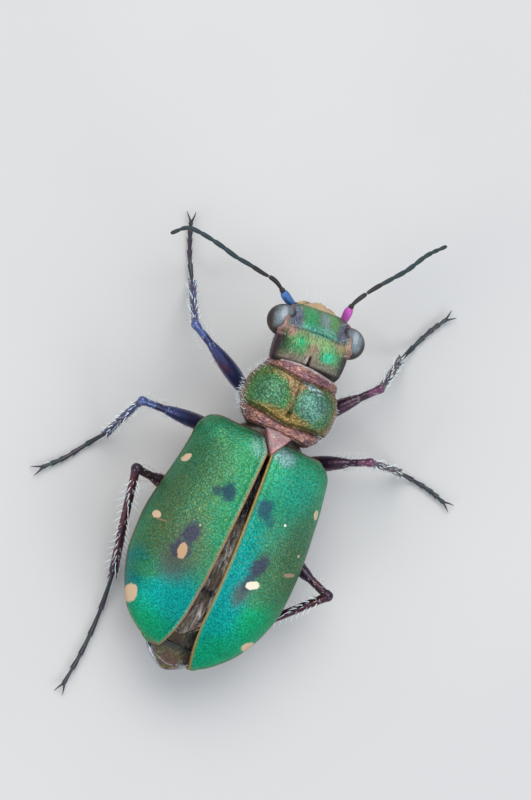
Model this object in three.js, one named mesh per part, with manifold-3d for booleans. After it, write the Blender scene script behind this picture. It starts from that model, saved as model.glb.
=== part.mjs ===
// A green tiger beetle at life size, standing on six feet with its wing cases a little parted.
import * as THREE from "three";
import { mergeVertices } from "three/addons/utils/BufferGeometryUtils.js";
import Module from "manifold-3d";

const wasm = await Module();
wasm.setup();

// Driving dimensions in millimetres. X is the beetle's right, Y is forward, Z is up, the floor is Z 0.
// Y 0 is the tip of the scutellum, where the two wing cases meet.
const GAP = 0.2;
const THIN = 0.5;
const ELYTRA_FRONT = 0.55;
const ELYTRA_TIP = -7.62;
const ELYTRA_RIM = 2.45;
const ELYTRA_OPENING = 2.2;
const SUTURE_GAP = 0.1;
const SUTURE_BEND = -6;
const SUTURE_TIP_GAP = 0.35;
const LEFT_TUCK = 0.07;
const BEYOND_SIDE = 4;
const SCUTELLUM_HALF = 0.5;
const SCUTELLUM_FRONT = 0.78;
const SCUTELLUM_SHOULDER = 0.62;
const SCUTELLUM_TIP = -0.02;
const SCUTELLUM_TIP_HALF = 0.1;
const SCUTELLUM_BASE = 3.5;
const WINGS_REAR = -6.75;
const WINGS_FRONT = -0.45;
const PRONOTUM_REAR = 0.8;
const PRONOTUM_FRONT = 3;
const THORAX_REAR = -2.7;
const THORAX_FRONT = 0.6;
const ABDOMEN_TIP = -7.9;
const ABDOMEN_FRONT = -2.9;
const NECK = new THREE.Vector3(0, 3.0, 0);
const HEAD_YAW = 5.5;
const HEAD_START = 0.2;
const HEAD_END = 2.3;

// Half widths and heights of the wing cases, the body and the head, as [station, value] from rear to front.
const ELYTRA_HALF = [
  [-7.62, 0.4], [-7.5, 0.72], [-7.1, 1.32], [-6.5, 1.87], [-5.5, 2.42], [-4.6, 2.68],
  [-3.2, 2.76], [-1.6, 2.69], [0, 2.47], [0.4, 2.24], [0.55, 2.0],
];
const ELYTRA_TOP = [
  [-7.62, 2.6], [-7.5, 2.76], [-7.1, 3.1], [-6.4, 3.62], [-5.5, 4.08], [-4.5, 4.38],
  [-3.2, 4.5], [-1.6, 4.42], [0.1, 4.12], [0.4, 3.94], [0.55, 3.75],
];
const BELLY_TOP = ELYTRA_RIM - GAP;
const ABDOMEN_HALF = [
  [-7.9, 0.3], [-7.6, 0.6], [-7, 0.95], [-6.4, 1.12], [-5.5, 1.5], [-4.5, 1.78], [-2.9, 1.88],
];
const ABDOMEN_BELLY = [
  [-7.9, 0.35], [-7.6, 0.7], [-7, 1.15], [-6.4, 1.55], [-5.5, 1.95], [-4.5, 2.2], [-2.9, 2.25],
];
const ABDOMEN_BOTTOM = [[-7.9, 1.75], [-7.6, 1.55], [-7, 1.38], [-5.5, 1.2], [-2.9, 1.2]];
const THORAX_HALF = [[-2.7, 1.88], [-0.6, 1.86], [0, 1.7], [0.35, 1.4], [0.6, 1.1]];
const THORAX_BELLY = [[-2.7, 2.2], [-1.2, 2.3], [-0.4, 2.15], [0.1, 1.8], [0.6, 1.2]];
const THORAX_TOP = [[-2.7, 2.95], [-0.6, 2.95], [0, 3.1], [0.35, 3.05], [0.6, 3]];
const THORAX_BOTTOM = [[-2.7, 1.22], [-0.6, 1.25], [0.6, 1.75]];
const PRONOTUM_HALF = [
  [0.8, 1.12], [1.0, 1.32], [1.3, 1.52], [1.75, 1.64], [2.2, 1.64], [2.6, 1.5], [3.0, 1.28],
];
const PRONOTUM_TOP = [[0.8, 4.0], [1.1, 4.16], [2.0, 4.3], [2.7, 4.3], [3.0, 4.18]];
const PRONOTUM_BOTTOM = [[0.8, 2.25], [1.4, 2.05], [2.4, 2.05], [3.0, 2.3]];
const HEAD_HALF = [[0.2, 1.25], [0.8, 1.3], [1.2, 1.27], [1.6, 1.22], [2.0, 1.08], [2.3, 0.93]];
const HEAD_TOP = [[0.2, 4.14], [0.7, 4.28], [1.2, 4.3], [1.6, 4.2], [2.0, 3.86], [2.3, 3.4]];
const HEAD_BOTTOM = [[0.2, 2.5], [0.9, 2.3], [1.6, 2.3], [2.1, 2.45], [2.3, 2.75]];

// Eyes and mouthparts, in the head's own frame.
const EYE_CENTRE = [1.2, 1.55, 3.56];
const EYE_RADII = [0.6, 0.55, 0.52];
const EYE_TURN = 0.25;
const JAW = [[0.6, 1.95, 2.3], [0.72, 2.3, 2.25], [0.6, 2.54, 2.2], [0.34, 2.62, 2.15]];
const OUTER_PALP = [[0.95, 1.5, 2.1], [1.1, 1.85, 1.8], [1.05, 2.15, 1.58], [0.85, 2.45, 1.45]];
const INNER_PALP = [[0.4, 1.6, 2.15], [0.48, 1.9, 1.75], [0.45, 2.2, 1.45], [0.35, 2.45, 1.22]];

// Each leg's joints. hip is where the femur leaves the coxa, and toes is the path of the foot on the floor.
const LEGS = {
  front_left: {
    root: [-0.6, 1.75, 1.78], hip: [-1.05, 1.85, 1.5], knee: [-3.9, 3.1, 2.7], ankle: [-4.3, 4.7, 0.5],
    toes: [[-4.65, 5.4], [-4.95, 6.05], [-5.2, 6.7]], femur: 0.31,
  },
  front_right: {
    root: [0.6, 1.7, 1.78], hip: [1.05, 1.78, 1.5], knee: [2.87, 3.85, 2.6], ankle: [3.5, 5.4, 0.5],
    toes: [[3.85, 6.2], [4.15, 6.9], [4.5, 7.5]], femur: 0.31,
  },
  middle_left: {
    root: [-0.75, 0.3, 1.05], hip: [-1.45, 0.35, 1.1], knee: [-4.5, -0.05, 2.8], ankle: [-4.85, -1.25, 0.5],
    toes: [[-5.3, -1.9], [-5.8, -2.65], [-6.4, -3.3]], femur: 0.31,
  },
  middle_right: {
    root: [0.75, 0.3, 1.05], hip: [1.45, 0.4, 1.1], knee: [3.6, 1.4, 2.55], ankle: [5.05, 1.8, 0.5],
    toes: [[5.75, 1.8], [6.4, 1.72], [7.05, 1.55]], femur: 0.31,
  },
  hind_left: {
    root: [-0.75, -2.1, 1.05], hip: [-1.45, -2.15, 1.1], knee: [-3.71, -2.2, 2.62],
    ankle: [-2.69, -5.49, 0.5], toes: [[-2.5, -7], [-2.5, -8.4], [-2.63, -9.78]], femur: 0.33,
  },
  hind_right: {
    root: [0.75, -2.1, 1.05], hip: [1.45, -2.25, 1.1], knee: [4.1, -3.4, 2.62], ankle: [1.76, -5.97, 0.5],
    toes: [[0.75, -6.45], [-0.35, -6.45], [-1.4, -6]], femur: 0.33,
  },
};
const COXA_RADIUS = 0.33;
const TIBIA_RADIUS = 0.25;
const TARSUS_RADIUS = 0.25;
const TARSUS_HEIGHT = 0.16;

// Feelers, from the head outwards.
const ANTENNAE = {
  antenna_left: [
    [-1.43, 5.17, 3.2], [-2.1, 5.49, 3.5], [-2.68, 5.52, 3.7], [-3.23, 5.56, 3.85], [-3.75, 5.58, 3.95],
    [-4.42, 5.7, 4.0], [-5.22, 5.79, 4.0], [-5.68, 5.74, 3.95], [-6.05, 5.39, 3.8],
  ],
  antenna_right: [
    [0.68, 5.44, 3.2], [0.57, 5.9, 3.45], [1.04, 6.64, 3.4], [1.56, 7.35, 3.2], [1.99, 7.93, 3.0],
    [2.44, 8.72, 2.75], [2.97, 9.35, 2.5],
  ],
};

// Numbers of faces, and how square the wing cases' arc is.
const BODY_SIDES = 24;
const ELYTRA_POWER = 2.3;
const LIMB_SIDES = 8;

// Smooth value of a [station, value] table at a station.
function valueAt(table, at) {
  if (at <= table[0][0]) return table[0][1];
  const last = table.length - 1;
  if (at >= table[last][0]) return table[last][1];
  const i = table.findIndex((row) => row[0] > at) - 1;
  const slope = (a, b) => (table[b][1] - table[a][1]) / (table[b][0] - table[a][0]);
  const step = table[i + 1][0] - table[i][0];
  const here = slope(i, i + 1);
  const before = i > 0 ? slope(i - 1, i) : here;
  const after = i + 2 <= last ? slope(i + 1, i + 2) : here;
  const m0 = before * here > 0 ? (2 * before * here) / (before + here) : 0;
  const m1 = after * here > 0 ? (2 * after * here) / (after + here) : 0;
  const t = (at - table[i][0]) / step;
  return (
    (1 + 2 * t) * (1 - t) ** 2 * table[i][1] +
    t * (1 - t) ** 2 * step * m0 +
    t * t * (3 - 2 * t) * table[i + 1][1] +
    t * t * (t - 1) * step * m1
  );
}

const along = (table) => (y) => valueAt(table, y);

// A closed solid through rings of points, with flat ends.
function loft(rings) {
  const count = rings[0].length;
  const points = rings.flat();
  const faces = [];
  for (let r = 0; r + 1 < rings.length; r++)
    for (let i = 0; i < count; i++) {
      const a = r * count + i;
      const b = r * count + ((i + 1) % count);
      faces.push(a, b, b + count, a, b + count, a + count);
    }
  [0, rings.length - 1].forEach((r) => {
    const middle = points.length;
    points.push(rings[r].reduce((sum, p) => sum.add(p), new THREE.Vector3()).divideScalar(count));
    for (let i = 0; i < count; i++) {
      const a = r * count + i;
      const b = r * count + ((i + 1) % count);
      faces.push(...(r ? [a, b, middle] : [b, a, middle]));
    }
  });
  const geometry = new THREE.BufferGeometry().setFromPoints(points);
  geometry.setIndex(faces);
  return solidOf(geometry);
}

// A three.js geometry as a solid that faces out.
function solidOf(geometry) {
  const bare = geometry.clone();
  bare.deleteAttribute("normal");
  bare.deleteAttribute("uv");
  const merged = mergeVertices(bare, 1e-4);
  const triVerts = new Uint32Array(merged.index.array);
  const vertProperties = new Float32Array(merged.attributes.position.array);
  const made = new wasm.Manifold(new wasm.Mesh({ numProp: 3, vertProperties, triVerts }));
  if (made.volume() > 0) return made;
  for (let i = 0; i < triVerts.length; i += 3) {
    [triVerts[i], triVerts[i + 1]] = [triVerts[i + 1], triVerts[i]];
  }
  return new wasm.Manifold(new wasm.Mesh({ numProp: 3, vertProperties, triVerts }));
}

const largest = (solid) => solid.decompose().sort((a, b) => b.volume() - a.volume())[0];
const cutBy = (solid, ...others) => largest(others.reduce((left, other) => left.subtract(other), solid));
const joined = (...solids) => largest(solids.reduce((all, other) => all.add(other)));
const turned = (solid, yaw, about) =>
  solid.translate([-about.x, -about.y, 0]).rotate([0, 0, yaw]).translate([about.x, about.y, 0]);

// A solid as a named mesh.
function meshOf(name, solid, colour, roughness, metalness) {
  const mesh = solid.getMesh();
  const geometry = new THREE.BufferGeometry();
  geometry.setAttribute("position", new THREE.BufferAttribute(mesh.vertProperties.slice(), 3));
  geometry.setIndex(new THREE.BufferAttribute(mesh.triVerts.slice(), 1));
  geometry.computeVertexNormals();
  const material = new THREE.MeshStandardMaterial({ color: colour, roughness, metalness });
  const made = new THREE.Mesh(geometry, material);
  made.name = name;
  return made;
}

// Stations from a to b, closer together near the ends.
function stations(a, b, count) {
  return Array.from({ length: count }, (_, i) => {
    const t = i / (count - 1);
    return a + (b - a) * (0.35 * t + 0.65 * (0.5 - 0.5 * Math.cos(Math.PI * t)));
  });
}

// A rounded section across the body at Y, with a relief added to its upper side.
function section(y, half, top, bottom, power = 2.2, relief = () => 0) {
  const middle = (top + bottom) / 2;
  return Array.from({ length: BODY_SIDES }, (_, i) => {
    const angle = (2 * Math.PI * (i + 0.5)) / BODY_SIDES;
    const bulge = (v) => Math.sign(v) * Math.abs(v) ** (2 / power);
    const x = half * bulge(Math.cos(angle));
    const high = bulge(Math.sin(angle));
    const z = middle + (high > 0 ? top - middle : middle - bottom) * high;
    return new THREE.Vector3(x, y, z + (high > 0 ? relief(x, y) * high : 0));
  });
}

// A body form from a table of half widths and functions for its top and bottom. grow swells it evenly.
function bodyForm(from, to, count, half, top, bottom, { power = 2.2, relief = () => 0, grow = 0 } = {}) {
  const rows = stations(from, to, count).map((y) =>
    section(y, valueAt(half, y) + grow, top(y) + grow, bottom(y) - grow, power, relief),
  );
  if (grow) {
    rows.unshift(rows[0].map((p) => p.clone().setY(from - grow)));
    rows.push(rows[rows.length - 1].map((p) => p.clone().setY(to + grow)));
  }
  return loft(rows);
}

// A limb along a smooth path, with rounded ends. radius gives its thickness at each share of the length.
function limb(path, radius, { sides = LIMB_SIDES, rings = 9, grow = 0, flat = 1 } = {}) {
  const curve = new THREE.CatmullRomCurve3(path.map((p) => new THREE.Vector3(...p)), false, "centripetal");
  const length = curve.getLength();
  const shares = [];
  const cap = [0.03, 0.45];
  const first = radius(0) + grow;
  const end = radius(1) + grow;
  cap.forEach((c) => shares.push({ at: -grow + c * first * 0.6, wide: Math.sqrt(1 - (1 - c) ** 2) }));
  for (let i = 0; i < rings; i++) {
    const at = first * 0.6 - grow + ((length + 2 * grow - (first + end) * 0.6) * i) / (rings - 1);
    shares.push({ at, wide: 1 });
  }
  [...cap].reverse().forEach((c) => {
    shares.push({ at: length + grow - c * end * 0.6, wide: Math.sqrt(1 - (1 - c) ** 2) });
  });
  let side = null;
  return loft(
    shares.map(({ at, wide }) => {
      const share = THREE.MathUtils.clamp(at / length, 0, 1);
      const ahead = curve.getTangentAt(share);
      const centre = curve.getPointAt(share).addScaledVector(ahead, at - share * length);
      side = side || new THREE.Vector3(0, 0, 1).cross(ahead).normalize();
      side.addScaledVector(ahead, -side.dot(ahead)).normalize();
      const up = ahead.clone().cross(side);
      const size = (radius(share) + grow) * wide;
      return Array.from({ length: sides }, (_, i) => {
        const angle = (2 * Math.PI * i) / sides;
        return centre
          .clone()
          .addScaledVector(side, size * Math.cos(angle))
          .addScaledVector(up, size * flat * Math.sin(angle));
      });
    }),
  );
}

const box = (low, high) => {
  const size = high.map((v, i) => v - low[i]);
  const made = new THREE.BoxGeometry(...size).translate(...low.map((v, i) => v + size[i] / 2));
  return solidOf(made);
};

// Wing cases: a domed shell, cut along the middle and round the scutellum, each half a little opened.
const elytraTop = (y) => valueAt(ELYTRA_TOP, y);

// Arc across both wing cases. The left one is drawn in a little behind its shoulder.
function elytraArc(y, inset, drop) {
  const half = Math.max(valueAt(ELYTRA_HALF, y) - inset, 0.04);
  const leftHalf = half * (1 - LEFT_TUCK * Math.exp(-(((y + 1) / 1.5) ** 2)));
  const high = elytraTop(y) - inset - ELYTRA_RIM;
  const arc = Array.from({ length: BODY_SIDES }, (_, i) => {
    const angle = (Math.PI * i) / (BODY_SIDES - 1);
    const bulge = (v) => Math.sign(v) * Math.abs(v) ** (2 / ELYTRA_POWER);
    const across = (Math.cos(angle) < 0 ? leftHalf : half) * bulge(Math.cos(angle));
    return new THREE.Vector3(across, y, ELYTRA_RIM + high * bulge(Math.sin(angle)));
  });
  if (drop) {
    arc.push(new THREE.Vector3(-leftHalf, y, ELYTRA_RIM - drop));
    arc.push(new THREE.Vector3(half, y, ELYTRA_RIM - drop));
  }
  return arc;
}

function scutellum(grow) {
  const wide = SCUTELLUM_HALF + grow;
  const tip = SCUTELLUM_TIP_HALF + grow * 0.6;
  const shape = new THREE.Shape([
    new THREE.Vector2(-wide, SCUTELLUM_FRONT + grow),
    new THREE.Vector2(-wide, SCUTELLUM_SHOULDER),
    new THREE.Vector2(-tip, SCUTELLUM_TIP - grow),
    new THREE.Vector2(tip, SCUTELLUM_TIP - grow),
    new THREE.Vector2(wide, SCUTELLUM_SHOULDER),
    new THREE.Vector2(wide, SCUTELLUM_FRONT + grow),
  ]);
  const depth = THIN + 4 * grow;
  const made = new THREE.ExtrudeGeometry(shape, { depth, bevelEnabled: false, curveSegments: 1 });
  return solidOf(made.translate(0, 0, SCUTELLUM_BASE - 2 * grow));
}

// All that lies to one side of the seam between the wing cases, which bends outwards near their tips.
function besideSuture(side) {
  const edge = [
    [SUTURE_GAP, 2], [SUTURE_GAP, SUTURE_BEND], [SUTURE_TIP_GAP, ELYTRA_TIP],
    [BEYOND_SIDE, ELYTRA_TIP - 1], [BEYOND_SIDE, 2],
  ];
  const shape = new THREE.Shape(edge.map(([x, y]) => new THREE.Vector2(side * x, y)));
  return solidOf(new THREE.ExtrudeGeometry(shape, { depth: 6, bevelEnabled: false }));
}

function elytra() {
  const outer = loft(stations(ELYTRA_TIP, ELYTRA_FRONT, 18).map((y) => elytraArc(y, 0, 0)));
  const innerRows = stations(ELYTRA_TIP + 0.62, ELYTRA_FRONT, 14).map((y) => elytraArc(y, THIN, 1));
  innerRows.push(innerRows[innerRows.length - 1].map((p) => p.clone().setY(ELYTRA_FRONT + 1)));
  const shell = outer.subtract(loft(innerRows));
  return [-1, 1].map((side) => {
    const half = cutBy(shell.intersect(besideSuture(side)), scutellum(GAP));
    return turned(half, side * ELYTRA_OPENING, new THREE.Vector3(side * SUTURE_GAP, 0, 0));
  });
}

// Hind wings folded flat under the wing cases, and the abdomen below them.
const VEIN_SPACING = 0.5;
const WING_HALF = [[-6.75, 0.25], [-6.2, 0.62], [-4.5, 0.95], [-2, 1.0], [-0.45, 0.7]];
const wingTop = (y) => elytraTop(y) - THIN - GAP;
const abdomenTop = (y) => Math.max(Math.min(elytraTop(y) - 2 * (THIN + GAP), 3), 2.1 + (y + 6.6) * 0.12);
const veinRelief = (x) => 0.05 * Math.cos((2 * Math.PI * x) / VEIN_SPACING);
const wingRows = stations(WINGS_REAR, WINGS_FRONT, 12).map((y) =>
  section(y, valueAt(WING_HALF, y), wingTop(y), wingTop(y) - THIN, 3, veinRelief),
);

// Pronotum: two domes with a groove between them and a groove before and behind.
function pronotumRelief(x, y) {
  const dome = Math.exp(-(((Math.abs(x) - 0.72) / 0.5) ** 2) - ((y - 1.9) / 0.62) ** 2);
  const middle = Math.exp(-((x / 0.16) ** 2) - ((y - 1.8) / 0.8) ** 2);
  const grooves = Math.exp(-(((y - 1.12) / 0.13) ** 2)) + Math.exp(-(((y - 2.68) / 0.13) ** 2));
  return 0.3 * dome - 0.12 * middle - 0.2 * grooves;
}

const prothorax = (grow) =>
  bodyForm(PRONOTUM_REAR, PRONOTUM_FRONT, 16, PRONOTUM_HALF, along(PRONOTUM_TOP), along(PRONOTUM_BOTTOM), {
    relief: pronotumRelief,
    grow,
  });

// Thorax and abdomen: an upper form between the wing cases, joined to a wider belly just under their rims.
function trunk(from, to, count, half, belly, top, bottom, grow) {
  const upper = bodyForm(from, to, count, half, top, () => BELLY_TOP - 0.5, { power: 2.6, grow });
  const lower = bodyForm(from, to, count, belly, () => BELLY_TOP, bottom, { power: 1.9, grow });
  return joined(upper, lower);
}
const thoraxTop = along(THORAX_TOP);
const thoraxBottom = along(THORAX_BOTTOM);
const abdomenBottom = along(ABDOMEN_BOTTOM);
const thorax = (grow) =>
  trunk(THORAX_REAR, THORAX_FRONT, 9, THORAX_HALF, THORAX_BELLY, thoraxTop, thoraxBottom, grow);
const abdomen = (grow) =>
  trunk(ABDOMEN_TIP, ABDOMEN_FRONT, 12, ABDOMEN_HALF, ABDOMEN_BELLY, abdomenTop, abdomenBottom, grow);

// Head, in its own frame with the neck at Y 0, turned a little to the left.
const onHead = (solid) => turned(solid.translate([NECK.x, NECK.y, NECK.z]), HEAD_YAW, NECK);
const browRelief = (x, y) => {
  const hollow = Math.exp(-((x / 0.5) ** 2) - ((y - 1.5) / 0.5) ** 2);
  return -0.1 * hollow;
};
const headForm = (grow) =>
  bodyForm(HEAD_START, HEAD_END, 12, HEAD_HALF, along(HEAD_TOP), along(HEAD_BOTTOM), {
    power: 2.9,
    relief: browRelief,
    grow,
  });

function eye(side) {
  const [x, y, z] = EYE_CENTRE;
  const ball = new THREE.SphereGeometry(1, 14, 9).scale(...EYE_RADII);
  return solidOf(ball.rotateZ(-side * EYE_TURN).translate(side * x, y, z));
}

function labrum() {
  const shape = new THREE.Shape();
  shape.moveTo(-0.62, 0);
  shape.lineTo(-0.6, 0.1);
  shape.quadraticCurveTo(0, 0.4, 0.6, 0.1);
  shape.lineTo(0.62, 0);
  const plate = new THREE.ExtrudeGeometry(shape, { depth: THIN, bevelEnabled: false, curveSegments: 8 });
  return solidOf(plate.rotateX(-0.35).translate(0, HEAD_END + 0.1, 2.82));
}

// Jaws and feeling organs of the mouth, from a path for the right-hand one.
const mouthpart = (path, radius) => (side) =>
  limb(path.map(([x, y, z]) => [side * x, y, z]), radius, { rings: 6, sides: 6 });
const palpRadius = (t) => 0.24 - 0.05 * t;
const mandible = mouthpart(JAW, (t) => 0.27 - 0.15 * t);
const maxillaryPalp = mouthpart(OUTER_PALP, palpRadius);
const labialPalp = mouthpart(INNER_PALP, palpRadius);

// Legs: coxa, femur, tibia and tarsus, each cut clear of the one before it.
const femurRadius = (wide) => (t) => wide * (0.8 + 0.45 * Math.sin(Math.PI * t) ** 2 * (1 - t) + 0.05 * t);
const tibiaRadius = (t) => TIBIA_RADIUS + 0.04 * Math.abs(2 * t - 1) ** 3;
const coxaOf = (leg, grow) => limb([leg.root, leg.hip], () => COXA_RADIUS, { rings: 3, grow });
const femurOf = (leg, grow) => limb([leg.hip, leg.knee], femurRadius(leg.femur), { rings: 6, grow });
const tibiaOf = (leg, grow) => limb([leg.knee, leg.ankle], tibiaRadius, { rings: 5, sides: 8, grow });

// Five foot joints that narrow at each seam, with two claws.
function tarsusRadius(t) {
  const joints = THREE.MathUtils.clamp(t, 0, 0.999) * 5;
  const within = joints - Math.floor(joints);
  return TARSUS_RADIUS - 0.05 * t - 0.05 * Math.cos(Math.PI * within) ** 6;
}

function tarsusOf(leg) {
  const floor = leg.toes.map(([x, y]) => [x, y, TARSUS_HEIGHT]);
  const path = [leg.ankle, ...floor];
  const foot = limb(path, tarsusRadius, { rings: 16, sides: 6 });
  const tip = new THREE.Vector3(...path[path.length - 1]);
  const onward = tip.clone().sub(new THREE.Vector3(...path[path.length - 2])).normalize();
  const aside = new THREE.Vector3(-onward.y, onward.x, 0);
  const claws = [-1, 1].map((side) => {
    const at = (ahead, out, high) =>
      tip.clone().addScaledVector(onward, ahead).addScaledVector(aside, side * out).setZ(high).toArray();
    const path = [at(-0.25, 0.03, 0.18), at(0.12, 0.18, 0.22), at(0.45, 0.3, 0.08)];
    return limb(path, (t) => 0.12 - 0.07 * t, { rings: 3, sides: 5 });
  });
  return joined(foot, ...claws).intersect(box([-12, -14, 0], [12, 14, 6]));
}

// Materials: green cuticle, copper body, dark metallic legs, pale lip.
const FINISH = {
  elytra: ["#1f8f58", 0.45, 0.5],
  cuticle: ["#4f8a3c", 0.45, 0.5],
  copper: ["#a8605c", 0.4, 0.6],
  leg: ["#3c2438", 0.35, 0.6],
  eye: ["#4a3a34", 0.2, 0.1],
  lip: ["#d8a870", 0.5, 0],
  membrane: ["#8c7a68", 0.6, 0],
  abdomen: ["#3a3228", 0.5, 0.2],
  antenna: ["#2c3a3e", 0.5, 0.3],
};

const parts = [];
const add = (name, solid, finish) => parts.push(meshOf(name, solid, ...FINISH[finish]));

const [leftCase, rightCase] = elytra();
add("elytron_left", leftCase, "elytra");
add("elytron_right", rightCase, "elytra");
add("scutellum", scutellum(0), "copper");
add("hind_wings_folded", loft(wingRows), "membrane");
add("prothorax", prothorax(0), "cuticle");
add("thorax", thorax(0), "copper");
add("abdomen", abdomen(0), "abdomen");

const head = headForm(0);
const grownHead = headForm(GAP);
add("head", cutBy(onHead(head), prothorax(GAP)), "cuticle");
for (const [word, side] of [["left", -1], ["right", 1]]) {
  const eyeball = cutBy(eye(side), grownHead);
  const jaw = cutBy(mandible(side), grownHead);
  const outerPalp = cutBy(maxillaryPalp(side), grownHead);
  const innerPalp = cutBy(labialPalp(side), grownHead);
  add(`eye_${word}`, onHead(eyeball), "eye");
  add(`mandible_${word}`, onHead(jaw), "lip");
  add(`palp_maxillary_${word}`, onHead(outerPalp), "antenna");
  add(`palp_labial_${word}`, onHead(innerPalp), "antenna");
}
add("labrum", onHead(cutBy(labrum(), grownHead)), "lip");

const headAndEyes = onHead(grownHead);
for (const [name, path] of Object.entries(ANTENNAE)) {
  const feeler = limb(path, (t) => TIBIA_RADIUS - 0.09 * t, { rings: 18, sides: 6 });
  add(name, cutBy(feeler, headAndEyes), "antenna");
}

const grownProthorax = prothorax(GAP);
const grownThorax = thorax(GAP);
const grownAbdomen = abdomen(GAP);
for (const [name, leg] of Object.entries(LEGS)) {
  const body = name.startsWith("front") ? [grownProthorax] : [grownThorax, grownAbdomen];
  add(`coxa_${name}`, cutBy(coxaOf(leg, 0), ...body), "copper");
  add(`femur_${name}`, cutBy(femurOf(leg, 0), coxaOf(leg, GAP), ...body), "leg");
  add(`tibia_${name}`, cutBy(tibiaOf(leg, 0), femurOf(leg, GAP)), "leg");
  add(`tarsus_${name}`, cutBy(tarsusOf(leg), tibiaOf(leg, GAP)), "leg");
}

// The whole beetle, moved so that the middle of its outline on the floor is the origin.
const beetle = new THREE.Group();
beetle.add(...parts);
const outline = new THREE.Box3().setFromObject(beetle);
const middle = outline.getCenter(new THREE.Vector3());
beetle.position.set(-middle.x, -middle.y, -outline.min.z);

export default beetle;
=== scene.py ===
import math
import random
import bmesh
import bpy
import numpy as np
from mathutils import Matrix, Vector, noise


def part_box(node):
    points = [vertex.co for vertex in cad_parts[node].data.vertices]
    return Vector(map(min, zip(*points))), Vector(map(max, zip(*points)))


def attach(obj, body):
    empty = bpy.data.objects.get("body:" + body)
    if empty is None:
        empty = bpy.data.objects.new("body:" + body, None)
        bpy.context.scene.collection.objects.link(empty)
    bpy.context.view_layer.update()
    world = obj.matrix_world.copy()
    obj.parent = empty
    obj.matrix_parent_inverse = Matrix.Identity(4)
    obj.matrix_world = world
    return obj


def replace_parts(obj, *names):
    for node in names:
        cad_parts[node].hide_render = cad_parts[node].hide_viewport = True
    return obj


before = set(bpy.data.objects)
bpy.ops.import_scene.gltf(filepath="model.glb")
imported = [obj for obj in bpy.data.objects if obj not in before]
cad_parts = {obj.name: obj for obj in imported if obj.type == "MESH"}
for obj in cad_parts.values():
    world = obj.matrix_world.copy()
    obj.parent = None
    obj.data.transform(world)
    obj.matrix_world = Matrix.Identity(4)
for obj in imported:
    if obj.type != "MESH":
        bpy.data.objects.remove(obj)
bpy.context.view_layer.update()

# Lengths are in millimetres in the beetle's frame: X right, Y forward, Z up, Y 0 at the scutellum's tip.
MM = 0.001
SCUTELLUM_CORNER = np.array([-0.5, -0.02, 3.5])
ORIGIN = np.array(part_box("scutellum")[0]) - SCUTELLUM_CORNER * MM
random.seed(7)
between = random.uniform
SIDES = {"left": -1, "right": 1}

# The wing cases' lower rim, ends, power of the rounded section, thickness and turn outwards in degrees.
RIM = 2.45
ELYTRA_FRONT = 0.55
ELYTRA_TIP = -7.6
ELYTRA_SECTION = 2.3
ELYTRON_THICKNESS = 0.11
OPENING = 2.2
# What is narrower, shorter and less curved on the left wing case, and where the edges meet.
LEFT_TUCK = 0.07
LEFT_TIP_SHORTER = 0.3
LEFT_TIP_BEND = 0.2
RIGHT_TIP_BEND = 0.34
SUTURE = 0.06
# Ends of the folded wings, how far they lie below the top of the wing cases, and their thickness.
WING_TIP = -6.56
WING_ROOT = -0.2
BELOW_ELYTRA = 0.64
MEMBRANE = 0.03
# Where thorax and abdomen meet, and the height up to which both are rounded from below.
WAIST = -2.7
UNDERSIDE_TOP = 2.3
# Where the head joins the pronotum, and how far from its middle the rims beside the eyes are.
NECK = np.array([0, 3.0, 0])
BROW = 1.12
# The eyes are turned by EYE_TURN degrees on the head, and HEAD_YAW turns it to its left about NECK.
EYE_CENTRE = (1.2, 1.52, 3.52)
EYE_RADII = (0.55, 0.56, 0.46)
EYE_TURN = -14
HEAD_YAW = 5.5

# Half widths and heights as [station, value], from rear to front.
ELYTRA_HALF = [
    [-7.62, 0.4], [-7.5, 0.72], [-7.1, 1.32], [-6.5, 1.87], [-5.5, 2.42], [-4.6, 2.68],
    [-3.2, 2.76], [-1.6, 2.69], [0, 2.47], [0.4, 2.24], [0.55, 2.0],
]
ELYTRA_TOP = [
    [-7.62, 2.6], [-7.5, 2.76], [-7.1, 3.1], [-6.4, 3.62], [-5.5, 4.08], [-4.5, 4.38],
    [-3.2, 4.5], [-1.6, 4.42], [0.1, 4.12], [0.4, 3.94], [0.55, 3.75],
]
ABDOMEN_HALF = [
    [-7.9, 0.6], [-7.6, 0.76], [-7, 1.06], [-6.4, 1.55], [-5.5, 1.95], [-4.5, 2.2], [-2.7, 2.25],
]
ABDOMEN_BOTTOM = [[-7.9, 1.75], [-7.6, 1.55], [-7, 1.38], [-5.5, 1.2], [-2.7, 1.2]]
THORAX_HALF = [[-2.7, 2.2], [-1.2, 2.3], [-0.4, 2.15], [0.1, 1.8], [0.6, 1.2]]
THORAX_BOTTOM = [[-2.7, 1.22], [-0.6, 1.25], [0.6, 1.75]]
PRONOTUM_HALF = [
    [0.78, 1.05], [0.95, 1.26], [1.25, 1.5], [1.7, 1.64],
    [2.2, 1.64], [2.6, 1.48], [2.9, 1.32], [3.14, 1.22],
]
PRONOTUM_TOP = [[0.78, 3.98], [1.1, 4.14], [2.0, 4.3], [2.7, 4.3], [3.14, 4.18]]
PRONOTUM_BOTTOM = [[0.78, 2.25], [1.4, 2.05], [2.4, 2.05], [3.14, 2.35]]
HEAD_HALF = [
    [-0.1, 1.0], [0.1, 1.16], [0.3, 1.26], [0.8, 1.3], [1.2, 1.27], [1.6, 1.22], [2.0, 1.08], [2.3, 0.93],
]
HEAD_TOP = [
    [-0.1, 3.9], [0.12, 4.02], [0.3, 4.15], [0.7, 4.28], [1.2, 4.3], [1.6, 4.2], [2.0, 3.86], [2.3, 3.4],
]
HEAD_BOTTOM = [[-0.1, 2.6], [0.9, 2.3], [1.6, 2.3], [2.1, 2.45], [2.3, 2.75]]
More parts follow.
